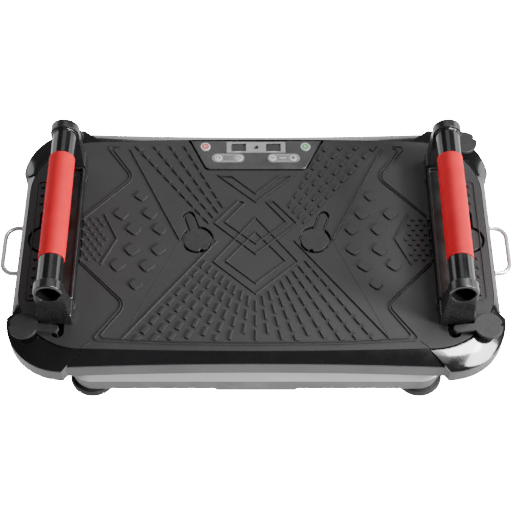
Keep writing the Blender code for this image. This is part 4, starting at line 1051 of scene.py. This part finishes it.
def build_buttons():
    under = PANEL_BOTTOM - GAP
    for name, (x, y, radius) in BUTTONS.items():
        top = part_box(name)[1].z
        profile = [(0.0, top - 0.0001), (radius * 0.6, top - 0.0001), (radius - 0.0016, top),
                   (radius - 0.0008, top - 0.0001), (radius - 0.0002, top - 0.0005), (radius, top - 0.0011),
                   (radius, under), (radius + 0.0012, under), (radius + 0.0012, under - 0.0014),
                   (0.0, under - 0.0014)]
        edit = bmesh.new()
        add_turned(edit, profile, 48, Matrix.Translation((x, y, 0.0)))
        piece(edit, name + "_cap", "button_white", name, [name])

    thin = 0.00010
    origin = (0.0, 0.0)
    ring = (circle(origin, 0.0058, 40), [circle(origin, 0.0034, 40)])
    icon("power_button", "power_ring", "icon_red", [ring], thin)
    mark = [(open_ring(0.0020, 0.0006, -230, 50), []), (bar_shape(0.0005, 0.0014, 0.0, (0.0, 0.0020)), [])]
    icon("power_button", "power_mark", "icon_red", mark, thin)
    icon("start_button", "start_disc", "icon_green", [(circle(origin, 0.0059, 40), [])], thin)
    triangle = [(-0.0021, -0.0026), (0.0030, 0.0), (-0.0021, 0.0026)]
    icon("start_button", "start_mark", "button_white", [(triangle, [])], thin * 2)
    icon("program_button", "program_mark", "icon_grey",
         [(open_ring(0.0032, 0.0006, -40, 220), []),
          ([(0.0014, -0.0028), (0.0040, -0.0032), (0.0032, -0.0006)], [])],
         thin)
    icon("mode_button", "mode_mark", "icon_grey",
         [(circle(origin, 0.0040, 36), [circle(origin, 0.0029, 36)]),
          (bar_shape(0.0004, 0.0013, 0.0, (0.0, 0.0011)), []),
          (bar_shape(0.0012, 0.0004, 0.0, (0.0010, 0.0)), [])], thin)
    icon("minus_button", "minus_mark", "icon_grey", [(bar_shape(0.0036, 0.0010), [])], thin)
    icon("plus_button", "plus_mark", "icon_grey",
         [(bar_shape(0.0036, 0.0010), []), (bar_shape(0.0010, 0.0036), [])], thin)


# ---------------------------------------------------------------- plugs

def add_plug(edit, heading, place, peg_depth=PEG_DEPTH):
    """A plug with its anchor at the origin, its disc pointing back from it and a barrel under the disc."""
    back = (-STRAP_LENGTH * math.cos(heading), -STRAP_LENGTH * math.sin(heading))
    outline = keyhole(back, heading, PLUG_RADIUS, STRAP_HALF, STRAP_LENGTH, notch=0.0045)
    add_lid = bmesh.new()
    add_plate(add_lid, outline, [], 0.0, PLUG_THICKNESS, 0.0012, low_edge=0.0006)
    inner = BARREL_RADIUS - BARREL_WALL
    barrel = [(inner, 0.0003), (inner, -BARREL_DEPTH + 0.0006), (inner + 0.0006, -BARREL_DEPTH),
              (BARREL_RADIUS - 0.0008, -BARREL_DEPTH), (BARREL_RADIUS, -BARREL_DEPTH + 0.0010),
              (BARREL_RADIUS - 0.0005, -BARREL_DEPTH * 0.45), (BARREL_RADIUS, -BARREL_DEPTH * 0.35),
              (BARREL_RADIUS, 0.0003)]
    add_turned(add_lid, barrel + barrel[:1], 40, Matrix.Translation((*back, 0.0)))
    add_turned(add_lid, [(0.0, 0.001), (PEG_RADIUS - 0.0002, 0.001),
                         (PEG_RADIUS - 0.0002, 0.0015 - peg_depth),
                         (0.0018, -peg_depth), (0.0, -peg_depth)], 20)
    scrap = bpy.data.meshes.new("scrap")
    add_lid.transform(place)
    add_lid.to_mesh(scrap)
    add_lid.free()
    edit.from_mesh(scrap)
    bpy.data.meshes.remove(scrap)


def build_plugs():
    for name, (centre, heading) in middle_sockets().items():
        x, y = anchor_of(centre, heading)
        edit = bmesh.new()
        add_plug(edit, heading, Matrix.Translation((x, y, PLATFORM_FLOOR + 2 * GAP)))
        body = name + "_plug" if name.startswith("inner") else "deck"
        piece(edit, name + "_stopper", "plug_rubber", body, [name + "_plug"])
    turned_aside = {
        "front_left": ((-0.3095, -0.1725), math.radians(174), 0.0),
        "front_right": ((0.3095, -0.1725), math.radians(6), 0.0),
        "rear_left": ((-0.3095, 0.1730), math.radians(90), math.radians(86)),
        "rear_right": ((0.3070, 0.1730), math.radians(23.5), 0.0),
    }
    for name, ((x, y), pointing, tilt) in turned_aside.items():
        lift = MAT_TOP + PLUG_REST
        peg_depth = PEG_DEPTH
        if not tilt:
            lift += BARREL_DEPTH
            peg_depth = lift - PLATFORM_FLOOR - PEG_CLEARANCE
        heading = pointing + math.pi
        lean = Matrix.Rotation(tilt, 4, (-math.sin(heading), math.cos(heading), 0.0))
        edit = bmesh.new()
        add_plug(edit, heading, Matrix.Translation((x, y, lift)) @ lean, peg_depth)
        piece(edit, name + "_stopper", "plug_rubber", name + "_plug", [name + "_plug"])


# ---------------------------------------------------------------- push-up bars

def build_rail(side, sign):
    """The foot of a bar: a long block with a deep channel between soft lips, on two round pads."""
    x = sign * BAR_X
    length = BAR_HALF_LENGTH - UPRIGHT_DEPTH - GAP
    floor = RAIL_TOP - 0.008
    levels = [(0.0006, RAIL_BOTTOM - 0.002), (0.0, RAIL_BOTTOM - 0.0012)]
    levels += rounding(RAIL_TOP, 0.0014, 4)
    levels += [(RAIL_LIP - inset, z) for inset, z in reversed(rounding(RAIL_TOP, 0.0010, 3))]
    levels += [(RAIL_LIP + 0.0004, floor + 0.0008), (RAIL_LIP + 0.0012, floor)]
    edit = bmesh.new()
    outline = rounded_rectangle(RAIL_HALF_X, length, 0.0066, 6)
    skin(edit, [[(x + u, v, z) for u, v in offset(outline, -inset)] for inset, z in levels])
    pad = [(0.0, RAIL_BOTTOM), (BOSS_RADIUS - 0.0010, RAIL_BOTTOM), (BOSS_RADIUS, RAIL_BOTTOM - 0.0010),
           (BOSS_RADIUS, MAT_TOP + 0.0010), (BOSS_RADIUS - 0.0008, MAT_TOP + GAP),
           (SOCKET_BORE, MAT_TOP + GAP),
           (SOCKET_BORE - 0.0006, MAT_TOP - 0.0005), (SOCKET_BORE - 0.0006, PLATFORM_BOTTOM + 0.0012),
           (SOCKET_BORE - 0.0016, PLATFORM_BOTTOM + GAP), (0.0, PLATFORM_BOTTOM + GAP)]
    for y in (-SOCKET_Y, SOCKET_Y):
        add_turned(edit, pad, 56, Matrix.Translation((sign * SOCKET_X, y, 0.0)))
    piece(edit, side + "_foot_rail", "satin_black", side + "_bar", [side + "_bar_rail"])


def upright_outline():
    """The post seen from the front, as (x, height) points: a block at its foot, a taper and a round head."""
    half_top = RING_RADIUS - 0.0005
    shoulder = RAIL_HALF_X - 0.0014
    start = math.degrees(math.asin(0.006 / RING_RADIUS))
    head = arc((0.0, BAR_AXIS_Z), RING_RADIUS, -start, 180 + start, 56)
    low = MAT_TOP + GAP
    side = [(RAIL_HALF_X, low), (RAIL_HALF_X, RAIL_TOP - 0.0010), (RAIL_HALF_X - 0.0004, RAIL_TOP - 0.0002),
            (shoulder, RAIL_TOP + 0.0004)]
    drop = BAR_AXIS_Z - 0.006 - RAIL_TOP
    for share in (0.25, 0.5, 0.75):
        side.append((shoulder + (half_top - shoulder) * share ** 0.85, RAIL_TOP + drop * share))
    return tidy_loop(side + head + [(-u, v) for u, v in reversed(side)])


def upright_depth(height):
    """How deep the post is, front to back, at a height."""
    share = min(1.0, max(0.0, (height - RAIL_TOP) / (BAR_AXIS_Z - RAIL_TOP)))
    return UPRIGHT_DEPTH + (RING_DEPTH - UPRIGHT_DEPTH) * share


def build_upright(side, sign, end, y_sign):
    """A post with a soft outer edge; the rear one is closed by a cap over its bore."""
    x = sign * BAR_X
    face = BAR_HALF_LENGTH + 0.001 if end == "rear" else BAR_HALF_LENGTH
    edit = bmesh.new()
    bore = circle((0.0, BAR_AXIS_Z), TUBE_RADIUS + GAP, 72)
    add_plate(edit, upright_outline(), [bore], 0.0, UPRIGHT_DEPTH, 0.0030, low_edge=0.0010, steps=6,
              hole_edge=0.0005)
    for vert in edit.verts:
        u, height, t = vert.co
        depth = upright_depth(height)
        vert.co = (x + u, y_sign * (face - depth * (1 - t / UPRIGHT_DEPTH)), height)
    if end == "rear":
        cap = [(0.0, 0.0008), (0.012, 0.0007), (0.0172, 0.0001), (0.0180, -0.0006), (0.0188, -0.0006),
               (TUBE_RADIUS + GAP, -0.0002), (TUBE_RADIUS + GAP, -0.0022), (0.0, -0.0022)]
        turn = Matrix.Rotation(-math.pi / 2, 4, "X")
        place = Matrix.Translation((x, face - 0.0010, BAR_AXIS_Z)) @ turn
        add_turned(edit, cap, 72, place)
    post = piece(edit, side + "_post_" + end, "upright_black", side + "_bar",
                 [side + "_upright_" + end])
    cutter = bmesh.new()
    low, high = MAT_TOP - 0.001, RAIL_BOTTOM + GAP
    reach = BOSS_RADIUS + GAP
    add_turned(cutter, [(0.0, low), (reach, low), (reach, high), (0.0, high)], 64,
               Matrix.Translation((sign * SOCKET_X, y_sign * SOCKET_Y, 0.0)))
    bmesh.ops.recalc_face_normals(cutter, faces=cutter.faces)
    cut_through(post, cutter)


def build_tube(side, sign):
    """The steel tube, with a moulded collar where it enters each ring."""
    x = sign * BAR_X
    turn = Matrix.Rotation(-math.pi / 2, 4, "X")
    place = Matrix.Translation((x, 0.0, BAR_AXIS_Z)) @ turn
    low = -BAR_HALF_LENGTH
    high = BAR_HALF_LENGTH - 0.0026
    bore = TUBE_RADIUS - TUBE_WALL
    profile = [(bore, low + 0.0004), (bore + 0.0004, low), (TUBE_RADIUS - 0.0005, low),
               (TUBE_RADIUS, low + 0.0005),
               (TUBE_RADIUS, high - 0.0005), (TUBE_RADIUS - 0.0005, high), (bore + 0.0004, high),
               (bore, high - 0.0004)]
    edit = bmesh.new()
    add_turned(edit, profile + profile[:1], 72, place)
    piece(edit, side + "_tube", "tube_black", side + "_bar", [side + "_bar_tube"])
    edit = bmesh.new()
    inner_face = BAR_HALF_LENGTH - RING_DEPTH
    skin_radius = TUBE_RADIUS + 0.0001
    for y_sign in (-1, 1):
        collar = []
        for radius, back in ((skin_radius, -0.0010), (skin_radius + 0.0016, -0.0010),
                             (skin_radius + 0.0018, 0.0010),
                             (skin_radius + 0.0013, 0.0018), (skin_radius + 0.0007, 0.0021),
                             (skin_radius, 0.0022)):
            collar.append((radius, y_sign * (inner_face - back)))
        add_turned(edit, collar + collar[:1], 64, place)
    piece(edit, side + "_ring_collars", "gloss_black", side + "_bar")


def build_grip(side, sign):
    """A foam sleeve: rolled ends and a faint swell along its length."""
    place = Matrix.Translation((sign * BAR_X, 0.0, BAR_AXIS_Z)) @ Matrix.Rotation(-math.pi / 2, 4, "X")
    bore = TUBE_RADIUS + 0.0001
    outside = [(radius, z) for radius, z in ((GRIP_RADIUS - 0.0009, -GRIP_HALF_LENGTH),
                                             (GRIP_RADIUS - 0.0003, -GRIP_HALF_LENGTH + 0.0003),
                                             (GRIP_RADIUS - 0.0001, -GRIP_HALF_LENGTH + 0.0010))]
    steps = 24
    for i in range(steps + 1):
        share = i / steps
        z = (-GRIP_HALF_LENGTH + 0.004) * (1 - 2 * share)
        outside.append((GRIP_RADIUS - 0.00008 * math.cos(2 * math.pi * share), z))
    outside += [(radius, -z) for radius, z in reversed(outside[:3])]
    profile = [(bore, -GRIP_HALF_LENGTH)] + outside + [(bore, GRIP_HALF_LENGTH)]
    edit = bmesh.new()
    add_turned(edit, profile + profile[:1], 72, place)
    grip = piece(edit, side + "_foam_grip", "red_foam", side + "_bar", [side + "_bar_grip"])


# ---------------------------------------------------------------- carried-over solids

KEPT_NODES = {
    "black_rubber": ["dust_collar", "drive_belt"],
    "dark_steel": ["chassis_plate", "pivot_block_front", "pivot_block_rear", "rock_motor",
                   "eccentric_bracket",
                   "deck_frame", "vibration_motor"],
    "steel": ["pivot_shaft", "motor_pulley", "eccentric_shaft", "vibration_rotor"],
    "board_green": ["power_board", "console_board"],
    "satin_black": ["inlet_module", "power_rocker"],
}


def finish_kept_nodes():
    """The inner pieces keep their solids, with softened edges and their own finishes."""
    for look, names in KEPT_NODES.items():
        for name in names:
            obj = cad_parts[name]
            obj.data.materials.clear()
            obj.data.materials.append(LOOKS[look])
            weld = obj.modifiers.new("weld", "WELD")
            weld.merge_threshold = 0.00001
            bevel = obj.modifiers.new("soft edges", "BEVEL")
            bevel.width = 0.0003
            bevel.segments = 2
            bevel.limit_method = "ANGLE"
            bevel.angle_limit = math.radians(40)


# ---------------------------------------------------------------- floor, light and camera

def only_for_camera(node_tree, socket, others, camera):
    """Gives a strength socket one value in the camera's own view and another in reflections and bounces."""
    rays = node_tree.nodes.new("ShaderNodeLightPath")
    mix = node_tree.nodes.new("ShaderNodeMix")
    mix.data_type = "FLOAT"
    mix.inputs["A"].default_value = others
    mix.inputs["B"].default_value = camera
    node_tree.links.new(rays.outputs["Is Camera Ray"], mix.inputs["Factor"])
    node_tree.links.new(mix.outputs["Result"], socket)


def build_floor():
    """A pale studio floor, lit from within as a light table is."""
    bpy.ops.mesh.primitive_plane_add(size=14.0, location=(0.0, 0.0, -0.0002))
    floor = bpy.context.object
    floor.name = "floor"
    paint = surface("floor_paint", (0.80, 0.80, 0.80), 0.7, mottle=(1.5, 0.01), grain=(30.0, 0.00001))
    shader = paint.node_tree.nodes["Principled BSDF"]
    shader.inputs["Emission Color"].default_value = (1.0, 1.0, 1.0, 1.0)
    only_for_camera(paint.node_tree, shader.inputs["Emission Strength"], FLOOR_GLOW, WHITE_TO_CAMERA)
    floor.data.materials.append(paint)


def soft_light(name, towards, distance, size, radiance, diffuse=True, glossy=True):
    """A rectangular softbox that faces the object, of a given brightness, seen along a direction."""
    light = bpy.data.lights.new(name, "AREA")
    light.shape = "RECTANGLE"
    light.size, light.size_y = size
    light.energy = radiance * math.pi * size[0] * size[1]
    obj = bpy.data.objects.new(name, light)
    bpy.context.scene.collection.objects.link(obj)
    centre = Vector((0.0, 0.0, 0.15))
    obj.location = centre + Vector(towards).normalized() * distance
    obj.rotation_euler = (centre - obj.location).to_track_quat("-Z", "Y").to_euler()
    obj.visible_diffuse = diffuse
    obj.visible_glossy = glossy
    return obj


def build_world():
    """White where the camera looks past the floor, and a dim studio otherwise."""
    world = bpy.data.worlds.new("studio")
    bpy.context.scene.world = world
    world.use_nodes = True
    background = world.node_tree.nodes["Background"]
    background.inputs["Color"].default_value = (1.0, 1.0, 1.0, 1.0)
    only_for_camera(world.node_tree, background.inputs["Strength"], WORLD_LIGHT, WHITE_TO_CAMERA)


def build_camera():
    camera = bpy.data.cameras.new("camera")
    camera.lens = CAMERA_LENS
    camera.sensor_width = 36.0
    obj = bpy.data.objects.new("camera", camera)
    bpy.context.scene.collection.objects.link(obj)
    obj.location = CAMERA_PLACE
    obj.rotation_euler = (CAMERA_TILT, 0.0, 0.0)
    bpy.context.scene.camera = obj


def build_studio():
    build_floor()
    build_world()
    # Broad light from behind and above; a key from the right that the raised edges catch
    soft_light("top_rear", (-0.20, 0.80, 0.70), 3.0, (2.4, 1.6), 4.6, glossy=False)
    soft_light("key_right", (0.84, -0.36, 0.37), 5.2, (1.4, 1.7), 62.0)
    # A low strip in front, level with the skirt and the base
    strip = soft_light("front_strip", (0.10, -1.0, -0.05), 1.5, (2.6, 0.11), 9.0, glossy=False)
    strip.location.z = 0.07
    # Boxes that show in the polished parts only
    soft_light("box_rear", (0.0, 0.55, 0.83), 2.6, (1.2, 0.9), 1.0, diffuse=False)
    soft_light("box_above", (0.30, -0.12, 0.95), 2.4, (1.1, 0.5), 1.6, diffuse=False)
    soft_light("box_right", (0.46, 0.09, 0.885), 2.4, (0.85, 0.80), 70.0, diffuse=False)
    soft_light("box_right_low", (0.66, -0.14, 0.72), 2.4, (0.95, 0.90), 45.0, diffuse=False)
    soft_light("box_side_right", (0.80, 0.55, 0.22), 2.4, (1.0, 0.9), 2.6, diffuse=False)
    soft_light("box_side_left", (-0.80, 0.55, 0.22), 2.4, (1.0, 0.9), 1.8, diffuse=False)
    build_camera()


def build_object():
    build_mat_sheet()
    build_mat_relief()
    build_platform()
    for end, y_sign in (("front", -1), ("rear", 1)):
        for side, x_sign in (("left", -1), ("right", 1)):
            build_corner_cap(end, y_sign, side, x_sign)
    build_skirt()
    build_loops()
    build_base_shell()
    build_band()
    build_feet()
    build_console()
    build_buttons()
    build_plugs()
    for side, sign in (("left", -1), ("right", 1)):
        build_rail(side, sign)
        build_upright(side, sign, "front", -1)
        build_upright(side, sign, "rear", 1)
        build_tube(side, sign)
        build_grip(side, sign)
    finish_kept_nodes()


build_object()
build_studio()
